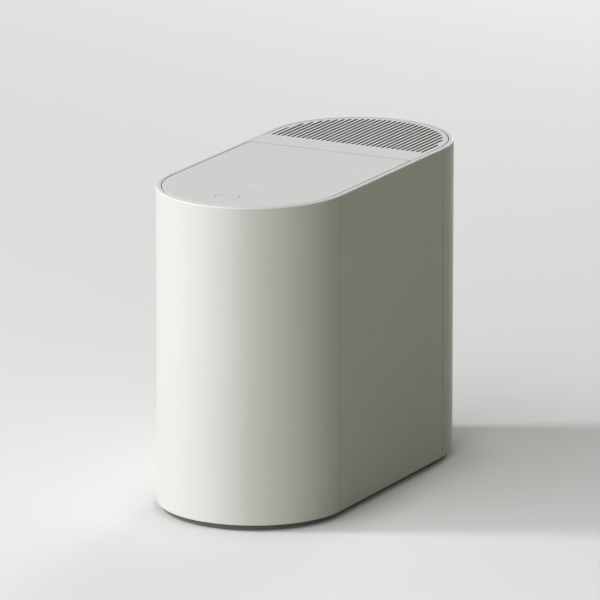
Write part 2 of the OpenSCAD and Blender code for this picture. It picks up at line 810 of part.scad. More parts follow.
module chamber_well() color(steel_colour)
    difference() {
        at_chamber() rotate_extrude() polygon([[shaft_r + 4, well_z], [well_out, well_z],
            [well_out, deck_top], [well_flange_r, deck_top], [well_flange_r, deck_top + well_flange_t],
            [well_r, deck_top + well_flange_t], [well_r, well_floor], [shaft_r + 4, well_floor]]);
        block(-port_w / 2, port_w / 2, port_y, chamber_y + well_out + 5, port_z, port_z + port_h);
    }

module heater_plate() color(dull_colour)
    at_chamber() translate([0, 0, well_floor]) difference() {
        cylinder(r = well_r - 4, h = heater_t);
        translate([0, 0, -1]) cylinder(r = dome_r - 2, h = heater_t + 2);
    }

thermostat_at = [38, chamber_y - 30];
thermostat_r = 9;
thermostat_h = 5;
tab_l = 4;
module thermostat() color(dark_colour) {
    post(thermostat_at, thermostat_r, well_z - thermostat_h, well_z);
    for (s = [-1, 1])
        translate([thermostat_at[0], thermostat_at[1] + s * 5, well_z - thermostat_h])
            block(-1, 1, -1, 1, -tab_l, eps);
}

module shaft_seal() color(rubber_colour)
    at_chamber() rotate_extrude() polygon([[shaft_r + run, well_z - 2], [shaft_r + 6, well_z - 2],
        [shaft_r + 6, well_z], [shaft_r + 4 - run, well_z], [shaft_r + 4 - run, well_floor],
        [shaft_r + run, well_floor]]);

// Pot: flat floor with a raised dome in the middle, filleted inside and out, and a small lip
module pot() color(dull_colour)
    difference() {
        union() {
            at_chamber() rotate_extrude() polygon(concat([[dome_r, pot_z]],
                arc(pot_r - 4, pot_z + 4, 4, -90, 0), [[pot_r, pot_top - 4], [pot_r + 1.2, pot_top - 2.8],
                [pot_r + 1.2, pot_top], [pot_in, pot_top]], arc(pot_in - 6, pot_floor + 6, 6, 0, -90),
                [[dome_r + 3, pot_floor], [dome_r + 3, dome_top], [bush_r, dome_top], [bush_r, dome_top - 3],
                [dome_r, dome_top - 3]]));
            both_sides() at_chamber() {
                block(bail_ear_x, pot_in + 1, -5, 5, pot_top - 14, pot_top);
                block(bail_ear_x, bail_ear_x + bail_ear_w, -5, 5, pot_top - eps, bail_z + bail_wire_r + 2.5);
            }
        }
        translate([-pot_r, chamber_y, bail_z]) rotate([0, 90, 0])
            cylinder(r = bail_wire_r - 0.1 + run, h = 2 * pot_r);
    }

module pot_bush() color(brass_colour)
    at_chamber() rotate_extrude() polygon([[rotor_shaft_r + run, dome_top - 4],
        [bush_r - run, dome_top - 4], [bush_r - run, dome_top], [bush_r + 2, dome_top],
        [bush_r + 2, dome_top + 2], [rotor_shaft_r + run, dome_top + 2]]);

// Two bars fixed to the pot's wall, which the rotor's arms pass
module fixed_blades() color(steel_colour)
    at_chamber() intersection() {
        for (a = [55, 235])
            rotate([0, 0, a]) block(24, pot_in + 1, -4, 4, fixed_z, fixed_z + fixed_h);
        translate([0, 0, fixed_z - 1]) cylinder(r = pot_in - run, h = fixed_h + 2);
    }

module pot_bail() color(steel_colour)
    translate([0, chamber_y, bail_z]) {
        rotate([0, 0, 180]) rotate_extrude(angle = 180) translate([bail_r, 0]) circle(r = bail_wire_r);
        for (s = [-1, 1]) {
            translate([s * bail_r, 0, 0]) rotate([0, 90, 0])
                cylinder(r = bail_wire_r + 0.2, h = 2 * bail_wire_r + 0.4, center = true);
            translate([s * (bail_ear_x - 1.5 + bail_r) / 2, 0, 0]) rotate([0, 90, 0])
                cylinder(r = bail_wire_r - 0.1, h = bail_r - bail_ear_x + 1.5, center = true);
        }
    }

// Rotor: a hub with a low plough that scrapes floor and wall, and a high arm that breaks lumps
module rotor() color(steel_colour)
    at_chamber() difference() {
        union() {
            translate([0, 0, hub_z]) cylinder(r = hub_r, h = hub_top - hub_z);
            translate([0, blade_t / 2, 0]) rotate([90, 0, 0]) linear_extrude(blade_t) {
                polygon([[0, hub_z], [dome_r + 6, hub_z], [dome_r + 8, pot_floor + 1.7],
                    [pot_in - 6, pot_floor + 1.7], [pot_in - 2.5, pot_floor + 8], [pot_in - 6, sweep_top - 2],
                    [0, sweep_top]]);
                polygon([[0, upper_z], [-pot_in + 16, upper_z + 1], [-pot_in + 14, upper_z + 8],
                    [0, hub_top - 2]]);
            }
        }
        translate([0, 0, hub_z - 1]) cylinder(r = rotor_shaft_r + run, h = hub_top);
    }

module rotor_shaft() color(steel_colour)
    at_chamber() translate([0, 0, pot_dog_z]) cylinder(r = rotor_shaft_r, h = hub_top + 5 - pot_dog_z);

module rotor_nut() color(steel_colour)
    at_chamber() translate([0, 0, hub_top]) difference() {
        cylinder(r = 8, h = 5, $fn = 6);
        translate([0, 0, -1]) cylinder(r = rotor_shaft_r + run, h = 8);
    }

// Half of a dog clutch: a disc with three dogs that stand up from it
module dog_half(bore)
    difference() {
        union() {
            cylinder(r = coupler_r, h = coupler_t);
            for (k = [0:2])
                rotate([0, 0, k * 120 - dog_turn / 2]) rotate_extrude(angle = dog_turn)
                    translate([8, coupler_t - eps]) square([5, dog_h + eps]);
        }
        translate([0, 0, -1]) cylinder(r = bore, h = coupler_t + 2);
    }

module drive_coupler() color(dark_colour)
    at_chamber() translate([0, 0, drive_dog_z]) dog_half(shaft_r + run);

module pot_coupler() color(dark_colour)
    at_chamber() translate([0, 0, pot_dog_z + coupler_t]) rotate([0, 0, 60]) mirror([0, 0, 1])
        dog_half(rotor_shaft_r + run);

module output_shaft() color(steel_colour)
    at_chamber() translate([0, 0, case_floor + 1])
        cylinder(r = shaft_r, h = drive_dog_z + coupler_t - case_floor - 1);

// Involute spur gear. half_angle is half a tooth at the pitch circle, less the backlash; a flank
// point at radius r stands involute(r) degrees round from the flank's start on the base circle.
pressure = 20;
backlash = 0.12;
function involute(base_r, r) = let(t = sqrt(max(0, r * r / (base_r * base_r) - 1))) t * 180 / PI - atan(t);

module gear_plan(teeth, m, turn) {
    pitch_r = teeth * m / 2;
    base_r = pitch_r * cos(pressure);
    tip_r = pitch_r + m;
    root_r = pitch_r - 1.25 * m;
    half_angle = 90 / teeth - backlash / 2 / pitch_r * 180 / PI + involute(base_r, pitch_r);
    start_r = max(base_r, root_r);
    flank = [for (i = [0:4]) let(r = start_r + (tip_r - start_r) * i / 4,
        a = half_angle - involute(base_r, r)) [r, a]];
    circle(r = root_r);
    for (k = [0:teeth - 1])
        rotate(turn + k * 360 / teeth) polygon(concat(
            [[(root_r - 0.5) * cos(flank[0][1]), -(root_r - 0.5) * sin(flank[0][1])]],
            [for (f = flank) [f[0] * cos(f[1]), -f[0] * sin(f[1])]],
            [for (i = [4:-1:0]) [flank[i][0] * cos(flank[i][1]), flank[i][0] * sin(flank[i][1])]],
            [[(root_r - 0.5) * cos(flank[0][1]), (root_r - 0.5) * sin(flank[0][1])]]));
}

// Turns that put a tooth of one gear into a gap of the next along the line of centres, +Y
output_turn = 90;
small_turn = -90 + 180 / idler_small_teeth;
large_turn = 90;
pinion_turn = -90 + 180 / pinion_teeth;

module output_gear() color(brass_colour)
    at_chamber() difference() {
        union() {
            translate([0, 0, output_z]) linear_extrude(output_face)
                gear_plan(output_teeth, output_module, output_turn);
            translate([0, 0, output_z - 3]) cylinder(r = shaft_r + 5, h = output_face + 4);
        }
        translate([0, 0, output_z - 4]) cylinder(r = shaft_r + run, h = output_face + 8);
    }

module idler_gear() color(brass_colour)
    translate([0, idler_y, 0]) difference() {
        union() {
            translate([0, 0, input_z]) linear_extrude(input_face)
                gear_plan(idler_large_teeth, input_module, large_turn);
            translate([0, 0, input_z + input_face - eps]) cylinder(r = idler_pin_r + 3,
                h = output_z - input_z - input_face + 2 * eps);
            translate([0, 0, output_z]) linear_extrude(output_face)
                gear_plan(idler_small_teeth, output_module, small_turn);
        }
        translate([0, 0, input_z - 1]) cylinder(r = idler_pin_r + run, h = output_z + output_face);
    }

module idler_pin() color(steel_colour)
    post([0, idler_y], idler_pin_r, case_z + 0.5, case_top + case_cover_t - 0.5);

module motor_pinion() color(steel_colour)
    translate([0, motor_y, 0]) {
        translate([0, 0, input_z]) linear_extrude(input_face) gear_plan(pinion_teeth, input_module, pinion_turn);
        translate([0, 0, case_z - 6]) cylinder(r = motor_shaft_r, h = input_z + input_face + 3 - case_z + 6);
    }

// Motor under the case, with its shaft boss in the case floor and a rear bearing cap
module motor() color(steel_colour)
    translate([0, motor_y, 0]) difference() {
        union() {
            translate([0, 0, case_z - motor_l]) cylinder(r = motor_r, h = motor_l);
            translate([0, 0, case_z - motor_l - 4]) cylinder(r = 9, h = 5);
            translate([0, 0, case_z - eps]) cylinder(r = 8, h = 2);
        }
        translate([0, 0, case_z - 6.5]) cylinder(r = motor_shaft_r + run, h = 12);
    }

module case_plan(grow) {
    translate([0, chamber_y]) circle(r = output_pocket_r + grow);
    translate([0, idler_y]) circle(r = idler_pocket_r + grow);
    if (grow > 0) {
        translate([0, motor_y]) circle(r = case_half_w);
        translate([-case_half_w, idler_y]) square([2 * case_half_w, motor_y - idler_y]);
    } else
        translate([0, motor_y]) circle(r = pinion_pocket_r);
}

module gear_case() color(inner_colour)
    difference() {
        union() {
            translate([0, 0, case_z]) linear_extrude(case_top - case_z) case_plan(case_wall);
            for (p = case_feet)
                post(p, case_foot_r, case_z, case_z + 5);
            for (p = case_bosses)
                post(p, case_boss_r, case_z, case_top);
        }
        difference() {
            translate([0, 0, case_floor]) linear_extrude(case_top) case_plan(0);
            at_chamber() translate([0, 0, case_z]) cylinder(r = bearing_r + 3, h = 1 + bearing_w + 3);
        }
        at_chamber() translate([0, 0, case_floor]) cylinder(r = bearing_r + run, h = case_top - case_floor);
        post([0, idler_y], idler_pin_r + run, case_z - 1, case_top);
        post([0, motor_y], 8 + run, case_z - 1, case_top);
        for (p = case_feet)
            post(p, screw_r + run, case_z - 1, case_z + 6);
        for (p = case_bosses)
            post(p, screw_r + run, case_top - case_screw_l, case_top + 1);
    }

module gear_case_cover() color(inner_colour)
    difference() {
        union() {
            translate([0, 0, case_top]) linear_extrude(case_cover_t) case_plan(case_wall);
            for (p = case_bosses)
                post(p, case_boss_r, case_top, case_top + case_cover_t);
            post([0, chamber_y], bearing_r + 3, case_top, case_top + bearing_w + 2);
        }
        post([0, chamber_y], shaft_r + 3, case_top - 1, case_top + bearing_w + 4);
        post([0, chamber_y], bearing_r + run, case_top + 2, case_top + bearing_w + 4);
        post([0, idler_y], idler_pin_r + run, case_top - 1, case_top + case_cover_t + 1);
        for (p = case_bosses)
            post(p, screw_r + run, case_top - 1, case_top + case_cover_t + 1);
    }

module shaft_bearings() color(steel_colour)
    at_chamber() for (z = [case_floor, case_top + 2])
        translate([0, 0, z]) difference() {
            cylinder(r = bearing_r, h = bearing_w);
            translate([0, 0, -1]) cylinder(r = shaft_r + run, h = bearing_w + 2);
        }

module gearbox_screws() color(steel_colour) {
    for (p = case_feet)
        screw(p, case_z + 5, case_screw_l);
    for (p = case_bosses)
        screw(p, case_top + case_cover_t, case_screw_l);
}

// Duct from the well's port to the fan's inlet
module exhaust_duct() color(inner_colour)
    difference() {
        union() {
            block(-port_w / 2 - duct_t, port_w / 2 + duct_t, port_y, fan_y + fan_inlet_r + 2 * duct_t,
                duct_z, deck_z - fit);
            post([0, fan_y], fan_inlet_r + duct_t, fan_top, duct_z + eps);
        }
        block(-port_w / 2, port_w / 2, port_y - 1, fan_y + fan_inlet_r, duct_z + duct_t,
            deck_z - fit - duct_t);
        post([0, fan_y], fan_inlet_r - 2, fan_top - 1, duct_z + duct_t + 1);
        post([0, chamber_y], well_out + fit, duct_z - 1, deck_z);
    }

module fan_housing() color(dark_colour)
    difference() {
        union() {
            post([0, fan_y], fan_case_r, fan_z, fan_top);
            block(outlet_x - fan_t, outlet_x + outlet_w + fan_t, fan_y, bay_y - fit, fan_z, fan_top);
            for (p = fan_posts)
                post(p, 5, fan_top - 4, fan_top);
            for (s = [-1, 1])
                block(s > 0 ? fan_case_r - 6 : -fan_post_x, s > 0 ? fan_post_x : -fan_case_r + 6,
                    fan_y - fan_post_y - 4, fan_y + fan_post_y + 4, fan_top - 4, fan_top);
        }
        post([0, fan_y], fan_case_r - fan_t, fan_z + fan_t, fan_top - fan_t);
        block(outlet_x, outlet_x + outlet_w, fan_y, bay_y + 1, fan_z + fan_t, fan_top - fan_t);
        post([0, fan_y], fan_inlet_r - 2, fan_top - fan_t - 1, fan_top + 1);
        post([0, fan_y], fan_boss_r, fan_z - 1, fan_z + fan_t + 1);
    }

// Bladed wheel with its own short shaft
module fan_impeller() color(inner_colour)
    translate([0, fan_y, fan_z + fan_t + 2]) {
        cylinder(r = fan_r, h = 2);
        translate([0, 0, -fan_t - fan_shaft_l]) cylinder(r = fan_shaft_r, h = fan_t + fan_shaft_l + fan_hub_h);
        cylinder(r = fan_hub_r, h = fan_hub_h);
        for (k = [0:blade_n - 1])
            rotate([0, 0, k * 360 / blade_n]) translate([fan_r - blade_l - 0.5, -1, 1]) rotate([0, 0, blade_lean])
                cube([blade_l, blade_w, fan_h - 2 * fan_t - 5]);
    }

module fan_motor() color(dark_colour)
    translate([0, fan_y, 0]) difference() {
        union() {
            translate([0, 0, fan_z - fan_motor_h]) cylinder(r = fan_motor_r, h = fan_motor_h);
            translate([0, 0, fan_z - eps]) cylinder(r = fan_boss_r - run, h = fan_t);
        }
        translate([0, 0, fan_z - fan_shaft_l - 0.5]) cylinder(r = fan_shaft_r + run, h = fan_shaft_l + 4);
    }

// Open-topped bay that hangs from the deck, with an air opening low in its front wall
module filter_bay() color(inner_colour)
    difference() {
        union() {
            block(-bay_half_w, bay_half_w, bay_y, bay_back, bay_z, deck_z);
            block(-bay_half_w - 3, bay_half_w + 3, bay_y - 3, bay_back + 1, deck_z - 2.5, deck_z);
        }
        block(-bay_half_w + bay_t, bay_half_w - bay_t, bay_y + bay_t, bay_back - bay_t, filter_z - fit,
            deck_z + 1);
        block(-bay_half_w + bay_t, bay_half_w - bay_t, bay_y + 3 * bay_t, bay_back - 3 * bay_t,
            bay_z + bay_t, deck_z);
        block(outlet_x, outlet_x + outlet_w, bay_y - 1, bay_y + 4 * bay_t, fan_z + fan_t, fan_top - fan_t);
    }

// Slotted cover over the filter, with an edge flange and four legs on the cartridge
slot_rear_r = half_w - slot_land;
slot_n = 2 * floor(slot_rear_r / slot_pitch) + 1;
slot_y = grille_y + slot_front;
function slot_end(x) = arc_y + sqrt(slot_rear_r * slot_rear_r - x * x);

module vent_grille() color(shell_colour)
    difference() {
        union() {
            translate([0, 0, skin_z]) linear_extrude(skin_t) behind(grille_y) stadium(cover_in);
            translate([0, 0, flange_z]) linear_extrude(skin_z - flange_z + eps) behind(grille_y)
                difference() {
                    stadium(cover_in);
                    stadium(cover_in + flange_t);
                }
            for (sx = [-1, 1], y = [filter_y, filter_y + filter_d - 6])
                block(sx * (filter_half_w - 3) - 3, sx * (filter_half_w - 3) + 3, y, y + 6, filter_top,
                    skin_z + eps);
        }
        translate([0, 0, skin_z - 1]) linear_extrude(skin_t + 2)
            for (i = [0:slot_n - 1])
                let(x = (i - (slot_n - 1) / 2) * slot_pitch, y1 = slot_end(abs(x)) - slot_w / 2) {
                    translate([x - slot_w / 2, slot_y]) square([slot_w, y1 - slot_y]);
                    translate([x, y1]) circle(r = slot_w / 2, $fn = 24);
                }
    }

module filter_cartridge() color(dark_colour)
    difference() {
        block(-filter_half_w, filter_half_w, filter_y, filter_y + filter_d, filter_z, filter_top);
        block(-filter_half_w + 2, filter_half_w - 2, filter_y + 2, filter_y + filter_d - 2, filter_z + 2,
            filter_top - 2);
        for (i = [-3:3])
            block(i * 12 - 4, i * 12 + 4, filter_y + 4, filter_y + filter_d - 4, filter_z - 1, filter_top + 1);
    }

module carbon_bed() color([0.08, 0.08, 0.08])
    block(-filter_half_w + 2.1, filter_half_w - 2.1, filter_y + 2.1, filter_y + filter_d - 2.1,
        filter_z + 2.1, filter_top - 2.1);

front_shell();
rear_shell();
left_panel();
right_panel();
base_tray();
feet();
base_screws();
top_frame();
top_screws();
partition_wall();
hinge_cover();
hinge_brackets();
hinge_pins();
bracket_screws();
lid_cover();
lid_liner();
lid_gasket();
lid_screws();
lid_board();
status_lens();
left_hinge_arm();
right_hinge_arm();
lid_button();
button_spring();
latch_hook();
latch_pin();
latch_keeper();
chamber_well();
heater_plate();
thermostat();
shaft_seal();
pot();
pot_bush();
fixed_blades();
pot_bail();
rotor();
rotor_shaft();
rotor_nut();
pot_coupler();
drive_coupler();
output_shaft();
output_gear();
shaft_bearings();
idler_gear();
idler_pin();
motor_pinion();
motor();
gear_case();
gear_case_cover();
gearbox_screws();
exhaust_duct();
fan_housing();
fan_impeller();
fan_motor();
filter_bay();
vent_grille();
filter_cartridge();
carbon_bed();
control_board();
power_inlet();
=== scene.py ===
"""Dresses the food waste composter: casing, lid, hinge band and grille as filleted surfaces, procedural
finishes on every piece, and a pale studio with the camera of the reference picture.

Lengths in the property groups are in metres, as everywhere in Blender. The front of the object is -Y.
"""

import json
import math

import bmesh
import bpy
import numpy as np
from bpy.props import FloatProperty, FloatVectorProperty, IntProperty, PointerProperty
from mathutils import Euler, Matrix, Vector
from mathutils.geometry import tessellate_polygon


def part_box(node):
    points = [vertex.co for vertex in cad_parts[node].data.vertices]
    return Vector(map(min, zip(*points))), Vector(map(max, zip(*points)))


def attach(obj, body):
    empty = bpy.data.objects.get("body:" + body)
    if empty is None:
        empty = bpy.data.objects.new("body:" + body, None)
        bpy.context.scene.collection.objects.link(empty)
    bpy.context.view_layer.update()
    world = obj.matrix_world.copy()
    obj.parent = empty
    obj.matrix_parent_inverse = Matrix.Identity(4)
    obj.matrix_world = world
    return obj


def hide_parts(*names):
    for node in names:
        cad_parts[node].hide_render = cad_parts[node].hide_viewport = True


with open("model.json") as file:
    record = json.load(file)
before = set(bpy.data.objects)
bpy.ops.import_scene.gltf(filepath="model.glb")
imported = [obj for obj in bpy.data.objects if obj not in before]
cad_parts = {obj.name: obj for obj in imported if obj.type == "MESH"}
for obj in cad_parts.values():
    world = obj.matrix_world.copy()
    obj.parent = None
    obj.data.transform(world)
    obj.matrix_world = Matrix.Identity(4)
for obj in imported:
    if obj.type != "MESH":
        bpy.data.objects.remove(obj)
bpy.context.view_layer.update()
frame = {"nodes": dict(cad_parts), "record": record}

bl_info = {
    "name": "Food waste composter",
    "version": (1, 0, 0),
    "blender": (4, 5, 0),
    "location": "View3D > Sidebar > Composter",
    "description": "Builds the casing, lid, grille and finishes of a countertop food waste composter",
    "category": "Add Mesh",
}

MM = 0.001


# ------------------------ sizes and colours


def span(node):
    """Lowest and highest corner of a node, as two arrays."""
    return [np.array(corner, float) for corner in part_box(node)]


def length(name, text, default, **more):
    """A length property in metres."""
    return FloatProperty(name=name, description=text, default=default, unit="LENGTH", **more)


def colour(name, text, default):
    """A colour property, written as the sRGB value that a picture shows."""
    return FloatVectorProperty(name=name, description=text, subtype="COLOR_GAMMA", size=3, default=default)


def level(name, text, default):
    """A brightness, as a share of white."""
    return FloatProperty(name=name, description=text, default=default, min=0.0)


def rate(name, text, default):
    """A number of either sign, such as a change per metre."""
    return FloatProperty(name=name, description=text, default=default)


def angle(name, text, degrees):
    """An angle property, given in degrees."""
    return FloatProperty(name=name, description=text, default=math.radians(degrees), subtype="ANGLE")


SHELL_LOW, SHELL_HIGH = span("front_shell")
LID_LOW, LID_HIGH = span("lid_cover")
BAND_LOW, BAND_HIGH = span("hinge_cover")
GRILLE_LOW, GRILLE_HIGH = span("vent_grille")
BUTTON_LOW, BUTTON_HIGH = span("lid_button")
LENS_LOW, LENS_HIGH = span("status_lens")
FILTER_LOW, FILTER_HIGH = span("filter_cartridge")
BUTTON_AT = (BUTTON_LOW[:2] + BUTTON_HIGH[:2]) / 2

# Screw bosses of the lid on its right half: two on a ring about the chamber's axis, one near the hinges
BOSS_RING_R, BOSS_RING_TURN, CHAMBER_Y = 65.5 * MM, math.radians(47), -98 * MM
BOSS_X, BOSS_Y = BOSS_RING_R * math.sin(BOSS_RING_TURN), BOSS_RING_R * math.cos(BOSS_RING_TURN)
LID_BOSSES = [(BOSS_X, CHAMBER_Y - BOSS_Y), (BOSS_X, CHAMBER_Y + BOSS_Y), (70 * MM, 0.0)]

# Legs of the hinge band: distance from the middle, and from the band's rear edge
BAND_LEGS = [(24 * MM, 7 * MM), (72 * MM, 17 * MM)]
LEG_HALF = 3 * MM

FINE_EDGE = 0.2 * MM  # rounding of legs, bosses and the indicator
SOFT_EDGE = 0.3 * MM  # rounding of lugs, of the rim's lip and of the button's underside
FOOT_EDGE = 0.5 * MM  # rounding of a shell's lower edge, and of legs in plan
LUG_CORNER, FLANGE_CORNER, SLOT_CORNER = 0.6 * MM, 0.4 * MM, 0.35 * MM
LENS_CORNER, WINDOW_CORNER = 0.45 * MM, 0.5 * MM
LENS_GAP, STEM_GAP = 0.1 * MM, 0.05 * MM
LUG_ROOT = 1 * MM  # how far lugs run into the wall
COLLAR_UP, COLLAR_LEDGE = 0.2 * MM, 1 * MM  # collar's foot above the button's, and thickness of its ledge

WALL_RINGS = 24  # up a shell's wall, and along a flat side
TURN_RINGS = 121  # round a round end
ARC_POINTS = 120  # on the arc of a cover
SMALL_CIRCLE = 32  # sides of a screw hole or boss
FLOOR_SIDES = 64
ROUND_OPENING = 6 * MM  # width beside an opening in which rings stay parallel
NEAR_STOP = 0.005  # a ring this close to an opening's side, in radians, is left out

# Levels on a shell's wall: the first above the foot, the last below the rim, one below the rounded edge
LEVEL_UP, LEVEL_DOWN, LEVEL_EDGE = 0.7 * MM, 0.5 * MM, 0.2 * MM

# Faces that take the painted gap shade: how far past the gap's side, and how far below the top face they
# start
LIP_PAST, SEAM_PAST, HOLE_PAST, SLOT_PAST = 0.25 * MM, 0.12 * MM, 0.3 * MM, 0.5 * MM
LIP_BELOW, HOLE_BELOW, SLOT_BELOW, BAND_BELOW = 0.03 * MM, 0.1 * MM, 0.03 * MM, 0.01 * MM

# Lamps: brightness that the lamp gives to a white surface facing it, diameter, direction about +Z from +X,
# and angle above the floor
LAMPS = {
    "side": (0.62, 1.6, -152.4, 28),
    "key": (1.33, 14.0, -106, 29),
    "rim": (0.42, 3.0, 95, 15),
}
LAMP_AIM = Vector((0.0, 0.0, 0.15))  # the object's middle


class CasingSizes(bpy.types.PropertyGroup):
    """Sizes of the casing, read from the frame where the frame holds them."""

    half_w: length("Half width", "Radius of the round ends", float(SHELL_HIGH[0]))
    arc_y: length("Arc centre", "Distance of the round ends' axes from the middle", float(-SHELL_HIGH[1]))
    low: length("Lower edge", "Height of the shells' lower edge", float(SHELL_LOW[2]))
    top: length("Top", "Height of the top face", float(SHELL_HIGH[2]))
    wall: length("Wall", "Wall of the shells", 2.6 * MM)
    rim_w: length("Rim width", "Width of the fixed rim round the top", 4.7 * MM)
    rim_h: length("Rim depth", "Depth of the rim below the top face", 6 * MM)
    edge_r: length("Edge radius", "Rounding of the outer top edge", 1.5 * MM)
    seam: length("Seam", "Open seam between neighbouring shells", 0.4 * MM)
    seam_r: length("Seam rounding", "Rounding of the edges along a seam", 0.28 * MM)
    rim_r: length("Rim rounding", "Rounding of the rim's inner edge", 0.45 * MM)
    lug_w: length("Lug width", "Width of the screw lugs", 10 * MM)
    lug_h: length("Lug height", "Height of the screw lugs", 8 * MM)
    foot_lug: length("Foot lug", "Length of the lower screw lugs", 18 * MM)
    foot_lug_z: length("Foot lug height", "Underside of the lower screw lugs", 12 * MM)
    top_lug: length("Top lug", "Length of the upper screw lugs", 10 * MM)
    top_lug_z: length("Top lug height", "Underside of the upper screw lugs", 276 * MM)
    panel_lug: length("Panel lugs", "Distance of the panels' lugs from the middle", 70 * MM)
    screw_hole: length("Screw hole", "Radius of the screw holes", 1.55 * MM)
    front_lug_turn: angle("Front lugs", "Turn of the front shell's lugs from the middle", 50)
    rear_lug_turn: angle("Rear lugs", "Turn of the rear shell's lugs from the middle", 60)
    inlet_half: length("Inlet opening", "Half the width of the opening for the mains inlet", 14.1 * MM)
    inlet_low: length("Inlet opening foot", "Underside of the opening for the mains inlet", 24.9 * MM)
    inlet_high: length("Inlet opening top", "Top of the opening for the mains inlet", 51.1 * MM)
    air_slots: IntProperty(name="Air slots", description="Number of air slots in the rear shell", default=7)
    air_half: length("Air slot reach", "Half the width of the air slots", 22 * MM)
    air_low: length("Lowest air slot", "Underside of the lowest air slot", 70 * MM)
    air_pitch: length("Air slot pitch", "Distance between air slots", 9 * MM)
    air_h: length("Air slot height", "Height of an air slot", 3 * MM)


class CoverSizes(bpy.types.PropertyGroup):
    """Sizes of the lid, the hinge band and the grille."""

    skin: length("Skin", "Thickness of the covers", 3 * MM)
    flange: length("Flange", "Width of the covers' edge flange", 2 * MM)
    flange_h: length("Flange depth", "Depth of the flange below the skin", 6 * MM)
    edge_r: length("Edge rounding", "Rounding of the lid's and the button's upper edges", 0.5 * MM)
    seam_r: length("Seam rounding", "Rounding of the edges along the straight seams", 0.12 * MM)
    lean: length("Lid rear lean", "How far the lid's rear edge leans forward at its foot", 1.9 * MM)
    flange_gap: length("Flange gap", "How far the flange stops short of the lid's rear edge", 5 * MM)
    corner_r: length("Corner rounding", "Rounding of the covers' corners in plan", 0.6 * MM)
    button_gap: length("Button gap", "Gap round the lid button", 0.3 * MM)
    stem_r: length("Button stem", "Radius of the button's stem", 3 * MM)
    disc_h: length("Button cap", "Thickness of the button's cap", 2.8 * MM)
    collar_w: length("Collar wall", "Wall of the button's guide collar", 1.5 * MM)
    boss_r: length("Boss radius", "Radius of the lid's screw bosses", 3.5 * MM)
    slots: IntProperty(name="Slots", description="Number of slots in the grille", default=31)
    slot_pitch: length("Slot pitch", "Distance between slots", 5.26 * MM)
    slot_w: length("Slot width", "Width of a slot", 2.6 * MM)
    slot_land: length("Slot land", "Land between the slots' rear ends and the outer face", 10.4 * MM)
    slot_front: length("Slot front land", "Land in front of the slots", 1.2 * MM)
    slot_r: length("Slot rounding", "Rounding of the slots' and the grille's upper edges", 0.2 * MM)


class FinishColours(bpy.types.PropertyGroup):
    """Colours of the finishes."""

    shell: colour("Casing", "Warm light grey moulded plastic", (0.843, 0.84, 0.825))
    # Painted shade: the casing colour made darker for faces inside gaps, seams and holes, where shade falls
    gap: colour("Gap", "Casing plastic in the shade of the gap round the covers", (0.42, 0.42, 0.40))
    dark: colour("Dark plastic", "Dark grey plastic of base, fan and inlet", (0.38, 0.38, 0.365))
    inner: colour("Inner plastic", "Mid grey plastic of the inner frames", (0.60, 0.61, 0.61))
    rubber: colour("Rubber", "Feet, gasket and seal", (0.13, 0.13, 0.13))
    steel: colour("Steel", "Pressed and turned steel", (0.72, 0.73, 0.74))
    alloy: colour("Cast alloy", "Cast aluminium of the heater plate", (0.66, 0.66, 0.65))
    pot_alloy: colour("Pot coat", "Dark non-stick coat of the pot", (0.24, 0.24, 0.25))
    brass: colour("Brass", "Gears and bush", (0.76, 0.62, 0.36))
    board: colour("Board", "Circuit boards", (0.10, 0.33, 0.19))
    carbon: colour("Carbon", "Filter granules", (0.09, 0.09, 0.09))
    lens: colour("Indicator", "Frosted indicator", (0.87, 0.87, 0.85))


class StageSettings(bpy.types.PropertyGroup):
    """Studio light, floor and camera."""

    floor: colour("Floor", "Pale floor", (0.855, 0.85, 0.84))
    floor_r: length("Floor radius", "Radius of the floor", 40.0)
    bounce: colour("Floor bounce", "Colour of the light that the floor throws back", (0.65, 0.638, 0.545))
    # Painted light on the floor: a glow seen by the camera that stands in for the light on a lit sweep, with
    # painted contact shade at the object's foot
    glow_level: level("Glow level", "Brightness of the glow under the object", 0.15)
    glow_across: rate("Glow across", "Change of the glow per metre to the right", -0.0487)
    glow_away: rate("Glow away", "Change of the glow per metre away", -0.0513)
    glow_bend: rate("Glow bend", "How the change away grows per metre away", 0.0426)
    glow_twist: rate("Glow twist", "How the change away grows per metre to the right", 0.1012)
    glow_least: level("Least glow", "Least brightness of the glow, away from the object", 0.1)
    glow_most: level("Most glow", "Most brightness of the glow", 0.27)
    contact: level("Contact shade", "Share of the glow left at the foot of the object", 0.2)
    contact_w: length("Contact width", "Distance from the foot at which the glow is whole", 60 * MM)
    backdrop: colour("Backdrop", "Pale grey above the floor", (0.885, 0.885, 0.885))
    sky: level("Ambient light", "Brightness that the even light gives to white", 0.075)
    sky_tint: colour("Ambient tint", "Colour of the even light", (1.0, 0.992, 0.86))
    lamp_tint: colour("Lamp tint", "Colour of the lamps", (0.975, 0.985, 1.0))
    lamp_away: length("Lamp distance", "Distance of the lamps", 9.0)
    camera_at: FloatVectorProperty(name="Camera place", description="Place of the camera",
                                   default=(3.343, -6.416, 2.037), subtype="TRANSLATION")
    camera_turn: angle("Camera turn", "Turn of the camera about +Z", 27.57)
    camera_tilt: angle("Camera tilt", "How far the camera looks down", 14.45)
    lens: FloatProperty(name="Focal length", description="Focal length on a 36 mm sensor", default=480.0,
                        unit="CAMERA")


def lamp_settings(name, strength, size, turned, raised):
    """The settings of one lamp."""
    title = name.capitalize() + " light"
    return {
        name: level(title, "Brightness that it gives to a white surface facing it", strength),
        name + "_size": length(title + " size", "Diameter of the lamp", size),
        name + "_turn": angle(title + " direction", "Direction of the lamp about +Z, from +X", turned),
        name + "_rise": angle(title + " height", "Angle of the lamp above the floor", raised),
    }


for lamp, values in LAMPS.items():
    StageSettings.__annotations__.update(lamp_settings(lamp, *values))


# ------------------------ surfaces


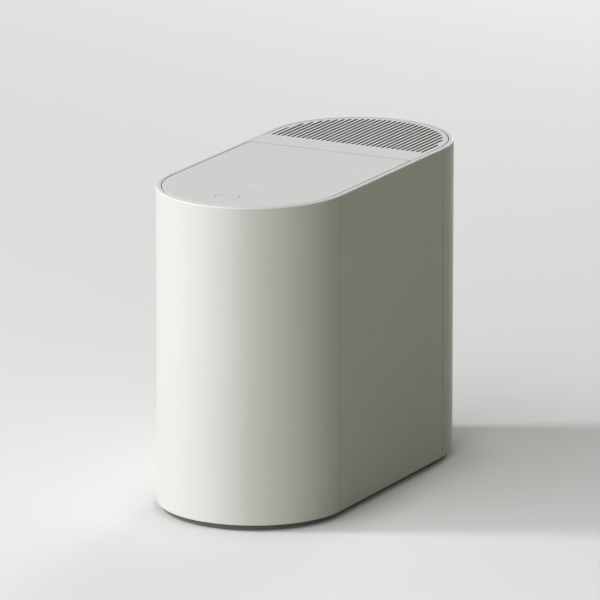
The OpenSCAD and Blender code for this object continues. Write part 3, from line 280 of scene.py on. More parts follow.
class Surface:
    """A mesh put together from grids, strips and flat caps that share their points."""

    def __init__(self):
        self.points = []
        self.count = 0
        self.faces = []
        self.smooth = []

    def add(self, points):
        """Adds an array of points of shape (..., 3) and returns their numbers in the same shape."""
        points = np.asarray(points, float)
        flat = points.reshape(-1, 3)
        numbers = np.arange(self.count, self.count + len(flat)).reshape(points.shape[:-1])
        self.points.append(flat)
        self.count += len(flat)
        return numbers

    def quads(self, numbers, wrap_rows=False, wrap_columns=False, keep=None):
        """Faces between neighbouring rows and columns of a grid of point numbers, where keep is true."""
        if wrap_rows:
            numbers = np.concatenate([numbers, numbers[:1]], axis=0)
        if wrap_columns:
            numbers = np.concatenate([numbers, numbers[:, :1]], axis=1)
        cells = np.stack([numbers[:-1, :-1], numbers[1:, :-1], numbers[1:, 1:], numbers[:-1, 1:]], axis=-1)
        cells = cells.reshape(-1, 4) if keep is None else cells[keep]
        self.faces += cells.tolist()
        self.smooth += [True] * len(cells)

    def cap(self, loops):
        """Flat faces over the area between closed loops of point numbers, the first of them outermost."""
        points = np.concatenate(self.points)
        order = np.concatenate(loops)
        triangles = tessellate_polygon([[Vector(p) for p in points[loop]] for loop in loops])
        self.faces += order[np.array(triangles)].tolist()
        self.smooth += [False] * len(triangles)

    def object(self, name, sharp=math.radians(32)):
        """Makes the mesh object, with outward faces and edges over the given angle kept sharp."""
        mesh = bpy.data.meshes.new(name)
        mesh.from_pydata(np.concatenate(self.points).tolist(), [], self.faces)
        work = bmesh.new()
        work.from_mesh(mesh)
        bmesh.ops.recalc_face_normals(work, faces=work.faces)
        work.to_mesh(mesh)
        work.free()
        mesh.set_sharp_from_angle(angle=sharp)
        mesh.polygons.foreach_set("use_smooth", self.smooth)
        thing = bpy.data.objects.new(name, mesh)
        bpy.context.scene.collection.objects.link(thing)
        return thing


def turn(angles):
    """Unit vectors in the XY plane at the given angles."""
    return np.stack([np.cos(angles), np.sin(angles)], axis=-1)


def arc(x, z, r, start, end, steps=6):
    """Points along an arc about (x, z), from start to end degrees."""
    return turn(np.radians(np.linspace(start, end, steps + 1))) * r + (x, z)


def filleted(corners, radii, steps=6):
    """Closed outline with each corner replaced by an arc: the arc starts and ends at r / tan(half the
    corner's angle) from the corner, and its points turn evenly about a centre at r / sin(half the angle)."""
    corners = np.asarray(corners, float)
    out = []
    for k, (p, r) in enumerate(zip(corners, radii)):
        a = corners[k - 1] - p
        b = corners[(k + 1) % len(corners)] - p
        a, b = a / np.linalg.norm(a), b / np.linalg.norm(b)
        if r <= 0:
            out.append(p[None])
            continue
        half = math.acos(np.clip(a @ b, -1, 1)) / 2
        middle = p + (a + b) / np.linalg.norm(a + b) * r / math.sin(half)
        start = p + a * r / math.tan(half) - middle
        sweep = math.pi - 2 * half
        side = np.sign(start[0] * (-a[1]) - start[1] * (-a[0]))
        t = np.linspace(0, 1, steps + 1) * sweep * side
        out.append(middle + np.stack([start[0] * np.cos(t) - start[1] * np.sin(t),
                                      start[0] * np.sin(t) + start[1] * np.cos(t)], axis=-1))
    return np.concatenate(out)


def outward(loop):
    """Unit normals of a closed plane loop that point away from its inside, mitred at each point so that an
    offset by d moves every side by d."""
    back = loop - np.roll(loop, 1, axis=0)
    ahead = np.roll(loop, -1, axis=0) - loop
    back /= np.linalg.norm(back, axis=1, keepdims=True) + 1e-12
    ahead /= np.linalg.norm(ahead, axis=1, keepdims=True) + 1e-12
    n1 = np.stack([back[:, 1], -back[:, 0]], axis=-1)
    n2 = np.stack([ahead[:, 1], -ahead[:, 0]], axis=-1)
    normal = (n1 + n2) / np.maximum(1 + (n1 * n2).sum(axis=1, keepdims=True), 0.3)
    x, y = loop.T
    area = (x * np.roll(y, -1) - y * np.roll(x, -1)).sum()
    return normal if area > 0 else -normal


def plate(surface, loops, z_low, z_high, edge_r, lean=0.0):
    """A flat plate with holes. Each loop's wall rises from the lower face and rounds over into the upper
    face by a quarter circle of edge_r, which may differ from point to point of the first loop. lean draws
    the first loop's wall in towards its foot, in proportion to depth."""
    upper = []
    lower = []
    for k, loop in enumerate(loops):
        normal = outward(loop) * (1 if k == 0 else -1)
        radius = np.full(len(loop), edge_r if np.isscalar(edge_r) or k == 0 else np.max(edge_r))
        extra = lean if k == 0 else 0.0
        rings = [(np.full(len(loop), z_low), 0.0)]
        rings += [(z_high - radius * (1 - math.sin(t)), radius * (1 - math.cos(t)))
                  for t in np.linspace(0, math.pi / 2, 5)]
        points = []
        for z, d in rings:
            drawn_in = d + extra * np.maximum(0.0, (z_high - radius - z) / (z_high - radius - z_low))
            points.append(np.column_stack([loop - normal * np.reshape(drawn_in, (-1, 1)), z]))
        numbers = surface.add(np.stack(points))
        surface.quads(numbers, wrap_columns=True)
        lower.append(numbers[0])
        upper.append(numbers[-1])
    surface.cap(upper)
    surface.cap(lower)


def revolved(surface, profile, centre, steps=96, closed=False):
    """A profile of (radius, height) pairs turned about a vertical axis. An open one ends on the axis."""
    direction = turn(np.linspace(0, 2 * math.pi, steps, endpoint=False))
    body = profile if closed else profile[1:-1]
    rings = np.stack([np.column_stack([centre[0] + direction[:, 0] * r, centre[1] + direction[:, 1] * r,
                                       np.full(steps, z)]) for r, z in body])
    numbers = surface.add(rings)
    surface.quads(numbers, wrap_columns=True, wrap_rows=closed)
    if not closed:
        surface.cap([numbers[0]])
        surface.cap([numbers[-1]])


def circle(centre, radius, steps=96):
    """A circle's points."""
    return turn(np.linspace(0, 2 * math.pi, steps, endpoint=False)) * radius + centre


def rectangle(low, high, corner_r):
    """Plan of a rectangle with filleted corners between two opposite corners."""
    corners = [(low[0], low[1]), (high[0], low[1]), (high[0], high[1]), (low[0], high[1])]
    return filleted(corners, [corner_r] * 4, 4)


def capsule(half_w, centre_y, back_y, corner_r, gap):
    """Outline of a half circle about (0, centre_y) that opens backwards into straight sides up to back_y.
    The first and the last point of arc and sides are gap before back_y, and the corner points follow."""
    arc_points = turn(np.linspace(math.pi, 2 * math.pi, ARC_POINTS)) * half_w + (0, centre_y)
    corners = filleted([(half_w, centre_y), (half_w, back_y), (-half_w, back_y), (-half_w, centre_y)],
                       [0, corner_r, corner_r, 0], 4)[1:-1]
    return np.concatenate([[(-half_w, back_y - gap)], arc_points, [(half_w, back_y - gap)], corners])


def legs(surface, places, low, high):
    """Square upright legs at the given places of the right half, and their mirror images."""
    half = np.array((LEG_HALF, LEG_HALF))
    for s in (-1, 1):
        for x, y in places:
            centre = np.array((s * x, y))
            plate(surface, [rectangle(centre - half, centre + half, FOOT_EDGE)], low, high, FINE_EDGE)


def finish_piece(thing, body, node, slot):
    """Rides a new piece on its body, in place of its node, with the finish of its slot."""
    thing.data.materials.append(finish(FINISH_OF_SLOT[slot]))
    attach(thing, body)
    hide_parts(node)
    return thing


# ------------------------ casing


def wall_section(size, levels):
    """Section of a shell as (distance from the arc's axis, height): up the outer face through the given
    levels, over the rounded top edge, across the rim, down its lip and down the inner face. Returns the
    section and the levels' places in it on the outer and on the inner face."""
    outer, inner, lip = size.half_w, size.half_w - size.wall, size.half_w - size.rim_w
    parts = [
        arc(outer - FOOT_EDGE, size.low + FOOT_EDGE, FOOT_EDGE, -90, 0),
        np.column_stack([np.full(len(levels), outer), levels]),
        arc(outer - size.edge_r, size.top - size.edge_r, size.edge_r, 0, 90),
        arc(lip + size.rim_r, size.top - size.rim_r, size.rim_r, 90, 180),
        arc(lip + SOFT_EDGE, size.top - size.rim_h + SOFT_EDGE, SOFT_EDGE, 180, 270),
        [(inner, size.top - size.rim_h)],
        np.column_stack([np.full(len(levels), inner), levels[::-1]]),
        arc(inner + FOOT_EDGE, size.low + FOOT_EDGE, FOOT_EDGE, 180, 270),
    ]
    starts = np.cumsum([0] + [len(part) for part in parts])
    count = np.arange(len(levels))
    return np.concatenate(parts), starts[1] + count, starts[6] + count[::-1]


def wall_levels(size, extra=()):
    """Heights of the rings on a shell's wall, with one close to each end so that the shading stays flat."""
    low, high = size.low + LEVEL_UP, size.top - size.rim_h - LEVEL_DOWN
    top = size.top - size.edge_r - LEVEL_EDGE
    return np.unique(np.round(np.concatenate([np.linspace(low, high, WALL_RINGS), [top], extra]), 7))


def rings_along(section, stations, end, end_r, place):
    """Surface and ring numbers of a section carried along a path, with rounded ends. place(section, station)
    gives the points of a ring. Close to an end the ring is the section drawn in by r (1 - sin t), at
    r (1 - cos t) from the end, for t from 0 to a quarter turn. end is r in the stations' own unit."""
    normal = outward(section)
    t = np.linspace(0, math.pi / 2, 5)
    drawn_in = end_r * (1 - np.sin(t))
    ahead = end * (1 - np.cos(t))
    insets = np.concatenate([drawn_in, np.zeros(len(stations) - 2), drawn_in[::-1]])
    places = np.concatenate([stations[0] + ahead, stations[1:-1], stations[-1] - ahead[::-1]])
    surface = Surface()
    numbers = surface.add(np.stack([place(section - normal * d, s) for d, s in zip(insets, places)]))
    surface.cap([numbers[0]])
    surface.cap([numbers[-1]])
    return surface, numbers, places


def wall_lugs(surface, size, centre, direction):
    """The two screw lugs on a shell's inner face: a low long one and a high short one. centre is a point of
    the arc's axis, or of the plane behind a flat side, and direction points to the wall."""
    along = np.array(direction)
    across = np.array([-along[1], along[0]])
    reach = size.half_w - size.wall
    half, root = size.lug_w / 2, reach + LUG_ROOT
    for depth, low in ((size.foot_lug, size.foot_lug_z), (size.top_lug, size.top_lug_z)):
        tip = reach - depth
        ends = ((tip, -half), (root, -half), (root, half), (tip, half))
        corners = [along * r + across * w + centre for r, w in ends]
        block = filleted(corners, [LUG_CORNER] * 4, 4)
        hole = circle(along * (reach - depth / 2) + centre, size.screw_hole, SMALL_CIRCLE)
        plate(surface, [block, hole], low, low + size.lug_h, SOFT_EDGE)


def opened(numbers, rows, columns, keep):
    """Marks the cells of one face of a wall inside an opening as left out, and returns the opening's rim.
    rows and columns are the opening's first and last ring and the places of its levels in the section."""
    first, last = rows
    low, high = columns[0], columns[-1]
    keep[first:last, min(low, high):max(low, high)] = False
    return np.concatenate([numbers[first:last, low], numbers[last, columns[:-1]],
                           numbers[first + 1:last + 1, high][::-1], numbers[first, columns[1:]][::-1]])


def round_end(name, size, side, openings=()):
    """A half-round end shell: the section turned through half a circle about the arc's axis. side is -1 for
    the front and 1 for the back. Openings are (half width, low, high) through the wall, with parallel sides:
    near them a ring's points share their x, so the turn at distance d is arccos(x / d)."""
    section, outer, inner = wall_section(size, wall_levels(size, [z for o in openings for z in o[1:]]))
    levels = section[outer, 1]
    end = size.seam_r / size.half_w
    widest = max([o[0] for o in openings], default=0.0) + ROUND_OPENING
    stops = [math.acos(s * o[0] / size.half_w) for o in openings for s in (-1, 1)]
    turns = np.linspace(2 * end, math.pi - 2 * end, TURN_RINGS)
    turns = [a for a in turns if all(abs(a - b) > NEAR_STOP for b in stops)]
    turns = np.sort(np.concatenate([turns, np.unique(np.round(stops, 9))]))

    def place(points, turned):
        x = size.half_w * math.cos(turned)
        angles = np.arccos(x / points[:, 0]) if abs(x) < widest else np.full(len(points), turned)
        return np.column_stack([points[:, 0] * np.cos(angles) * side,
                                side * (points[:, 0] * np.sin(angles) + size.arc_y), points[:, 1]])

    stations = np.concatenate([[0.0], turns, [math.pi]])
    surface, numbers, places = rings_along(section, stations, end, size.seam_r, place)
    keep = np.ones((len(places) - 1, len(section)), bool)
    for half, low, high in openings:
        rows = [int(np.argmin(abs(places - math.acos(s * half / size.half_w)))) for s in (1, -1)]
        a, b = [int(np.argmin(abs(levels - z))) for z in (low, high)]
        rims = [opened(numbers, rows, face[a:b + 1], keep) for face in (outer, inner)]
        surface.quads(np.stack(rims), wrap_columns=True)
    surface.quads(numbers, wrap_columns=True, keep=keep)
    lug_turn = size.front_lug_turn if side < 0 else size.rear_lug_turn
    for s in (-1, 1):
        direction = (s * math.sin(lug_turn), side * math.cos(lug_turn))
        wall_lugs(surface, size, (0.0, side * size.arc_y), direction)
    return surface.object(name + "_skin")


def flat_side(name, size, side):
    """A flat side panel: the section carried along Y between the seams."""
    section, _, _ = wall_section(size, wall_levels(size))
    reach = size.arc_y - size.seam

    def place(points, y):
        return np.column_stack([side * points[:, 0], np.full(len(points), y), points[:, 1]])

    stations = np.linspace(-reach, reach, WALL_RINGS)
    surface, numbers, _ = rings_along(section, stations, size.seam_r, size.seam_r, place)
    surface.quads(numbers, wrap_columns=True)
    for s in (-1, 1):
        wall_lugs(surface, size, (0.0, s * size.panel_lug), (side, 0.0))
    return surface.object(name + "_skin")


def paint_gap_shade(thing, chosen):
    """Gives the chosen faces, whose middles are given as arrays x, y and z, painted shade: a darker copy of
    the casing plastic that stands in for the shade inside gaps.
    """
    centres = np.empty(3 * len(thing.data.polygons))
    thing.data.polygons.foreach_get("center", centres)
    thing.data.materials.append(finish("gap_plastic"))
    thing.data.polygons.foreach_set("material_index", chosen(*centres.reshape(-1, 3).T).astype(np.int32))


def from_middle(x, y, arc_y):
    """Distance from the plan's middle line, which ends at the arcs' axes: hypot(x, |y| past the axis)."""
    return np.hypot(x, np.maximum(0.0, abs(y) - arc_y))


def shell_gap_shade(size):
    """Chooses the faces inside the seams and on the rim's inner lip, which take painted shade."""
    def chosen(x, y, z):
        lip = from_middle(x, y, size.arc_y) < size.half_w - size.rim_w + LIP_PAST
        seam = abs(abs(y) - size.arc_y + size.seam / 2) < size.seam / 2 + SEAM_PAST
        return (lip & (z > size.top - size.rim_h) & (z < size.top - LIP_BELOW)) | seam
    return chosen


# ------------------------ covers


def cover(size, top, outline, holes, edge_r, lean=0.0):
    """A cover's skin with holes. Its outline comes from capsule: the straight edge is rounded as a seam and
    may lean, and the arc and sides are rounded by edge_r and carry a flange, a bar section along them."""
    sides = ARC_POINTS + 2
    straight = np.arange(len(outline)) >= sides
    high = top - size.skin
    surface = Surface()
    plate(surface, [outline] + holes, high, top, np.where(straight, size.seam_r, edge_r),
          np.where(straight, lean, 0.0))
    path, normal = outline[:sides], outward(outline)[:sides]
    low, width = high - size.flange_h, size.flange
    corners = [(0, low), (0, high), (-width, high), (-width, low)]
    section = filleted(corners, [FLANGE_CORNER, 0, 0, FLANGE_CORNER], 3)
    rings = np.stack([np.column_stack([path + normal * d, np.full(sides, z)]) for d, z in section], axis=1)
    numbers = surface.add(rings)
    surface.quads(numbers, wrap_columns=True)
    surface.cap([numbers[0]])
    surface.cap([numbers[-1]])
    return surface


def slot_outline(x, front, back, half):
    """A slot whose front end is square with small corners and whose back end is a half circle."""
    end = turn(np.linspace(0, math.pi, 11)) * half + (x, back)
    start = filleted([(x - half, back), (x - half, front), (x + half, front), (x + half, back)],
                     [0, SLOT_CORNER, SLOT_CORNER, 0], 3)
    return np.concatenate([end, start[1:-1]])


# ------------------------ finishes


def linear(value):
    """Linear colour of an sRGB value, with an opaque alpha."""
    return [c / 12.92 if c <= 0.04045 else ((c + 0.055) / 1.055) ** 2.4 for c in value] + [1.0]


class Finish:
    """A node material under construction, on Object coordinates."""

    def __init__(self, name, roughness, metallic=0.0, specular=0.5):
        self.material = bpy.data.materials.new(name)
        self.material.use_nodes = True
        self.tree = self.material.node_tree
        self.shader = self.tree.nodes["Principled BSDF"]
        self.shader.inputs["Roughness"].default_value = roughness
        self.shader.inputs["Metallic"].default_value = metallic
        self.shader.inputs["Specular IOR Level"].default_value = specular
        self.place = self.tree.nodes.new("ShaderNodeTexCoord").outputs["Object"]

    def node(self, kind, **values):
        """Adds a node and sets its sockets by name or its properties by name; sockets given take a link."""
        made = self.tree.nodes.new(kind)
        for key, value in values.items():
            if key in made.inputs:
                if isinstance(value, bpy.types.NodeSocket):
                    self.tree.links.new(value, made.inputs[key])
                else:
                    made.inputs[key].default_value = value
            else:
                setattr(made, key, value)
        return made

    def noise(self, scale, detail=2.0, where=None, roughness=0.5):
        """Fractal noise between 0 and 1, with scale in features per metre."""
        return self.node("ShaderNodeTexNoise", Vector=where or self.place, Scale=scale, Detail=detail,
                         Roughness=roughness).outputs["Fac"]

    def ramp(self, factor, low, high, dark, light):
        """Maps factor from low..high onto dark..light, as a grey value or a colour."""
        made = self.node("ShaderNodeValToRGB", Fac=factor)
        made.color_ramp.elements[0].position = low
        made.color_ramp.elements[1].position = high
        for element, value in zip(made.color_ramp.elements, (dark, light)):
            element.color = value if isinstance(value, list) else [value] * 3 + [1.0]
        return made.outputs["Color"]

    def bump(self, factor, depth, strength=1.0):
        """Gives the surface relief, depth metres deep."""
        made = self.node("ShaderNodeBump", Height=factor, Distance=depth, Strength=strength)
        self.tree.links.new(made.outputs["Normal"], self.shader.inputs["Normal"])

    def drive(self, socket, value):
        """Links a value to one of the shader's sockets."""
        self.tree.links.new(value, self.shader.inputs[socket])

    def tinted(self, factor, value, low, high, dark, light):
        """Colours the surface from dark to light shares of a colour, as factor goes from low to high."""
        self.drive("Base Color", self.ramp(factor, low, high, shaded(value, dark), shaded(value, light)))

    def glossed(self, factor, low, high, least, most):
        """Sets the roughness from least to most, as factor goes from low to high."""
        self.drive("Roughness", self.ramp(factor, low, high, least, most))


def shaded(value, amount):
    """A colour a little darker (amount below 1) or lighter than the given sRGB value."""
    return [min(1.0, c * amount) for c in linear(value)[:3]] + [1.0]


def moulded_plastic(name, value, grain, roughness, spread=0.03, depth=0.00002):
    """Spark-eroded moulded plastic: a fine grain in the relief, slightly uneven gloss and colour."""
    made = Finish(name, roughness)
    made.tinted(made.noise(9.0, 3.0), value, 0.3, 0.7, 1 - spread, 1 + spread)
    made.glossed(made.noise(60.0, 4.0), 0.3, 0.7, roughness - 0.04, roughness + 0.05)
    made.bump(made.noise(grain, 3.0, roughness=0.6), depth)
    return made.material


def brushed_metal(name, value, roughness):
    """Rolled or turned metal: fine lines in gloss and relief, with soft blotches of tarnish."""
    made = Finish(name, roughness, metallic=1.0)
    stretched = made.node("ShaderNodeMapping", Vector=made.place, Scale=(6.0, 6.0, 900.0))
    lines = made.noise(1.0, 4.0, stretched.outputs["Vector"], 0.7)
    made.tinted(made.noise(40.0, 4.0), value, 0.3, 0.75, 0.86, 1.06)
    made.glossed(lines, 0.25, 0.75, roughness - 0.08, roughness + 0.14)
    made.bump(lines, 0.000008)
    return made.material


def cast_metal(name, value, roughness):
    """Cast metal: rounded grains in relief and uneven gloss."""
    made = Finish(name, roughness, metallic=1.0)
    grains = made.node("ShaderNodeTexVoronoi", Vector=made.place, Scale=900.0, feature="SMOOTH_F1")
    made.tinted(made.noise(25.0, 5.0), value, 0.3, 0.7, 0.88, 1.08)
    made.glossed(made.noise(160.0, 3.0), 0.3, 0.7, roughness - 0.06, roughness + 0.1)
    made.bump(grains.outputs["Distance"], 0.00003, 0.5)
    return made.material


def coated_metal(name, value):
    """Non-stick coat: dark and satin, with pale flecks and a faint orange peel."""
    made = Finish(name, 0.38, specular=0.6)
    flecks = made.node("ShaderNodeTexVoronoi", Vector=made.place, Scale=420.0, feature="F1")
    made.tinted(flecks.outputs["Distance"], value, 0.10, 0.16, 3.2, 1.0)
    made.glossed(made.noise(90.0, 3.0), 0.3, 0.7, 0.33, 0.45)
    made.bump(made.noise(700.0, 2.0), 0.00002)
    return made.material


def soft_rubber(name, value):
    """Rubber: nearly black and dull, with bloom in patches and a fine tooth."""
    made = Finish(name, 0.75, specular=0.3)
    made.tinted(made.noise(50.0, 5.0), value, 0.35, 0.75, 0.8, 1.7)
    made.bump(made.noise(1500.0, 2.0), 0.00003)
    return made.material


def circuit_board(name, value):
    """Solder mask over tracks: a brick lattice of slightly raised, paler tracks."""
    made = Finish(name, 0.35)
    tracks = made.node("ShaderNodeTexBrick", Vector=made.place, Scale=60.0)
    tracks.inputs["Color1"].default_value = linear(value)
    tracks.inputs["Color2"].default_value = shaded(value, 0.8)
    tracks.inputs["Mortar"].default_value = shaded(value, 1.8)
    tracks.inputs["Mortar Size"].default_value = 0.012
    made.drive("Base Color", tracks.outputs["Color"])
    made.bump(tracks.outputs["Fac"], 0.00004)
    return made.material


def granules(name, value):
    """Packed carbon granules: cells in relief with deep gaps between them, coloured lighter in their middles
    as a painted highlight and darker towards the gaps as painted shade.
    """
    made = Finish(name, 0.55)
    cells = made.node("ShaderNodeTexVoronoi", Vector=made.place, Scale=330.0, feature="F1")
    # Painted highlight in the cells' middles and painted shade towards the gaps between them
    made.tinted(cells.outputs["Distance"], value, 0.1, 0.6, 1.6, 0.3)
    made.bump(cells.outputs["Distance"], 0.0009)
    return made.material


def frosted_lens(name, value):
    """Frosted clear plastic: milky, with light scattered a short way inside."""
    made = Finish(name, 0.3)
    made.shader.inputs["Subsurface Weight"].default_value = 0.4
    made.shader.inputs["Subsurface Radius"].default_value = (0.002, 0.002, 0.002)
    made.tinted(made.noise(200.0, 2.0), value, 0.3, 0.7, 0.95, 1.02)
    made.bump(made.noise(2500.0, 2.0), 0.00001)
    return made.material


# Finishes: material slot, which is also the name of its colour, then the maker and its further values
FINISHES = {
    "casing_plastic": ("shell", moulded_plastic, 2200.0, 0.50, 0.012, 0.000018),
    # Painted shade: the casing plastic in a darker colour, for faces inside gaps, seams and holes
    "gap_plastic": ("gap", moulded_plastic, 2200.0, 0.50, 0.012, 0.000018),
    "dark_plastic": ("dark", moulded_plastic, 1800.0, 0.55, 0.05),
    "inner_plastic": ("inner", moulded_plastic, 1500.0, 0.5),
    "brushed_steel": ("steel", brushed_metal, 0.32),
    "cast_alloy": ("alloy", cast_metal, 0.45),
    "non_stick_coat": ("pot_alloy", coated_metal),
    "turned_brass": ("brass", brushed_metal, 0.3),
    "soft_rubber": ("rubber", soft_rubber),
    "circuit_board": ("board", circuit_board),
    "carbon_granules": ("carbon", granules),
    "frosted_lens": ("lens", frosted_lens),
}
FINISH_OF_SLOT = {values[0]: name for name, values in FINISHES.items()}


def finish(name):
    """A finish by name, made when it is first asked for."""
    if name in bpy.data.materials:
        return bpy.data.materials[name]
    slot, maker, *values = FINISHES[name]
    return maker(name, getattr(bpy.context.scene.composter_colours, slot), *values)


# ------------------------ operators


class COMPOSTER_OT_finishes(bpy.types.Operator):
    """Give every carried-over node the finish of its material slot"""

    bl_idname = "composter.finishes"
    bl_label = "Inner pieces' finishes"

    def execute(self, context):
        for entry in frame["record"]["subparts"]:
            thing = frame["nodes"][entry["node"]]
            thing.data.materials.clear()
            thing.data.materials.append(finish(FINISH_OF_SLOT[entry["material_slot"]]))
        return {"FINISHED"}


class COMPOSTER_OT_casing(bpy.types.Operator):
    """Build the two round end shells and the two flat side panels"""

    bl_idname = "composter.casing"
    bl_label = "Casing shells"

    def execute(self, context):
        size = context.scene.composter_casing
        openings = [(size.inlet_half, size.inlet_low, size.inlet_high)]
        for k in range(size.air_slots):
            low = size.air_low + k * size.air_pitch
            openings.append((size.air_half, low, low + size.air_h))
        shells = {
            "front_shell": round_end("front_shell", size, -1),
            "rear_shell": round_end("rear_shell", size, 1, openings),
            "left_panel": flat_side("left_panel", size, -1),
            "right_panel": flat_side("right_panel", size, 1),
        }
        for node, shell in shells.items():
            finish_piece(shell, "body", node, "shell")
            # Painted shade inside the seams and on the rim's inner lip
            paint_gap_shade(shell, shell_gap_shade(size))
        return {"FINISHED"}


class COMPOSTER_OT_lid(bpy.types.Operator):
    """Build the lid cover with its flange, screw bosses and button collar"""

    bl_idname = "composter.lid"
    bl_label = "Lid cover"

    def execute(self, context):
        casing = context.scene.composter_casing
        size = context.scene.composter_covers
        top, skin_low = casing.top, casing.top - size.skin
        outline = capsule(LID_HIGH[0], -casing.arc_y, LID_HIGH[1], size.corner_r, size.flange_gap)
        hole_r = BUTTON_HIGH[0] + size.button_gap
        window = rectangle(LENS_LOW - LENS_GAP, LENS_HIGH + LENS_GAP, WINDOW_CORNER)
        surface = cover(size, top, outline, [circle(BUTTON_AT, hole_r), window], size.edge_r, size.lean)
        for place in LID_BOSSES:
            for s in (-1, 1):
                centre = (s * place[0], place[1])
                rims = [circle(centre, r, SMALL_CIRCLE) for r in (size.boss_r, casing.screw_hole)]
                plate(surface, rims, LID_LOW[2], skin_low, FINE_EDGE)
        low = BUTTON_LOW[2] + COLLAR_UP
        ledge = low + COLLAR_LEDGE
        outer_r, stem_r = hole_r + size.collar_w, size.stem_r + STEM_GAP
        collar = [(outer_r, low), (outer_r, skin_low), (hole_r, skin_low), (hole_r, ledge), (stem_r, ledge),
                  (stem_r, low)]
        revolved(surface, collar, BUTTON_AT, closed=True)
        lid = finish_piece(surface.object("lid_skin"), "lid", "lid_cover", "shell")
        # Painted shade on the wall of the button's hole
        paint_gap_shade(lid, lambda x, y, z: (np.hypot(x - BUTTON_AT[0], y - BUTTON_AT[1]) < hole_r + HOLE_PAST)
               & (z > skin_low) & (z < top - HOLE_BELOW))
        return {"FINISHED"}


class COMPOSTER_OT_button(bpy.types.Operator):
    """Build the lid button and the indicator window"""

    bl_idname = "composter.button"
    bl_label = "Button and indicator"

    def execute(self, context):
        size = context.scene.composter_covers
        surface = Surface()
        low, top, r = BUTTON_LOW[2], BUTTON_HIGH[2], BUTTON_HIGH[0]
        cap_low = top - size.disc_h
        corners = [(0, low), (size.stem_r, low), (size.stem_r, cap_low), (r, cap_low), (r, top), (0, top)]
        profile = filleted(corners, [0, SOFT_EDGE, 0, SOFT_EDGE, size.edge_r, 0], 5)
        revolved(surface, profile, BUTTON_AT)
        finish_piece(surface.object("button_cap"), "button", "lid_button", "shell")
        surface = Surface()
        plate(surface, [rectangle(LENS_LOW, LENS_HIGH, LENS_CORNER)], LENS_LOW[2], LENS_HIGH[2], FINE_EDGE)
        finish_piece(surface.object("indicator_window"), "lid", "status_lens", "lens")
        return {"FINISHED"}


class COMPOSTER_OT_band(bpy.types.Operator):
    """Build the fixed band over the hinges, with its legs"""

    bl_idname = "composter.band"
    bl_label = "Hinge band"

    def execute(self, context):
        size = context.scene.composter_covers
        low, high = BAND_LOW, BAND_HIGH
        skin_low = high[2] - size.skin
        surface = Surface()
        plate(surface, [rectangle(low, high, size.corner_r)], skin_low, high[2], size.seam_r)
        legs(surface, [(x, high[1] - inset) for x, inset in BAND_LEGS], low[2], skin_low)
        band = finish_piece(surface.object("hinge_band"), "body", "hinge_cover", "shell")
        # Painted shade on the band's front wall, along the seam with the lid
        paint_gap_shade(band, lambda x, y, z: (y < low[1] + size.seam_r) & (z > skin_low)
               & (z < high[2] - BAND_BELOW))
        return {"FINISHED"}


class COMPOSTER_OT_grille(bpy.types.Operator):
    """Build the slotted grille over the filter, with its flange and legs"""

    bl_idname = "composter.grille"
    bl_label = "Vent grille"

    def execute(self, context):
        casing = context.scene.composter_casing
        size = context.scene.composter_covers
        skin_low = casing.top - size.skin
        front = GRILLE_LOW[1]
        outline = -capsule(GRILLE_HIGH[0], -casing.arc_y, -front, size.corner_r, 1.5 * size.corner_r)
        reach = casing.half_w - size.slot_land
        half = size.slot_w / 2
        middles = (np.arange(size.slots) - (size.slots - 1) / 2) * size.slot_pitch
        slot_start = front + size.slot_front
        slots = [slot_outline(x, slot_start, casing.arc_y + math.sqrt(reach**2 - x**2) - half, half)
                 for x in middles]
        surface = cover(size, casing.top, outline, slots, size.slot_r)
        side = FILTER_HIGH[0] - LEG_HALF
        places = [(side, FILTER_LOW[1] + LEG_HALF), (side, FILTER_HIGH[1] - LEG_HALF)]
        legs(surface, places, FILTER_HIGH[2], skin_low)
        grille = finish_piece(surface.object("grille"), "filter", "vent_grille", "shell")
        # Painted shade on the slots' walls
        paint_gap_shade(grille, lambda x, y, z: (from_middle(x, y, casing.arc_y) < reach + SLOT_PAST)
               & (y > slot_start - SLOT_PAST) & (z > skin_low) & (z < casing.top - SLOT_BELOW))
        return {"FINISHED"}


def area_light(name, stage):
    """A round area light that faces the object's middle, with the stage's values of that name. It gives a
    white surface facing it a brightness b when its power is b (pi distance)^2."""
    ends = ("", "_size", "_turn", "_rise")
    brightness, size, turned, raised = [getattr(stage, name + end) for end in ends]
    distance = stage.lamp_away
    data = bpy.data.lights.new(name, "AREA")
    data.shape = "DISK"
    data.size = size
    data.energy = brightness * (math.pi * distance) ** 2
    data.color = linear(stage.lamp_tint)[:3]
    flat = math.cos(raised) * distance
    toward = Vector((flat * math.cos(turned), flat * math.sin(turned), math.sin(raised) * distance))
    lamp = bpy.data.objects.new(name, data)
    lamp.location = toward + LAMP_AIM
    lamp.rotation_euler = (-toward).to_track_quat("-Z", "Y").to_euler()
    bpy.context.scene.collection.objects.link(lamp)


def combine(tree, kind, first, second):
    """Output of a math node on two numbers or sockets."""
    made = tree.nodes.new("ShaderNodeMath")
    made.operation = kind
    for socket, value in zip(made.inputs, (first, second)):
        if isinstance(value, bpy.types.NodeSocket):
            tree.links.new(value, socket)
        else:
            socket.default_value = value
    return made.outputs[0]


def seen_directly(tree):
    """Output of a node tree that is 1 for camera, glossy and transmission rays and 0 for the rest."""
    path = tree.nodes.new("ShaderNodeLightPath").outputs
    seen = combine(tree, "MAXIMUM", path["Is Camera Ray"], path["Is Glossy Ray"])
    return combine(tree, "MAXIMUM", seen, path["Is Transmission Ray"])


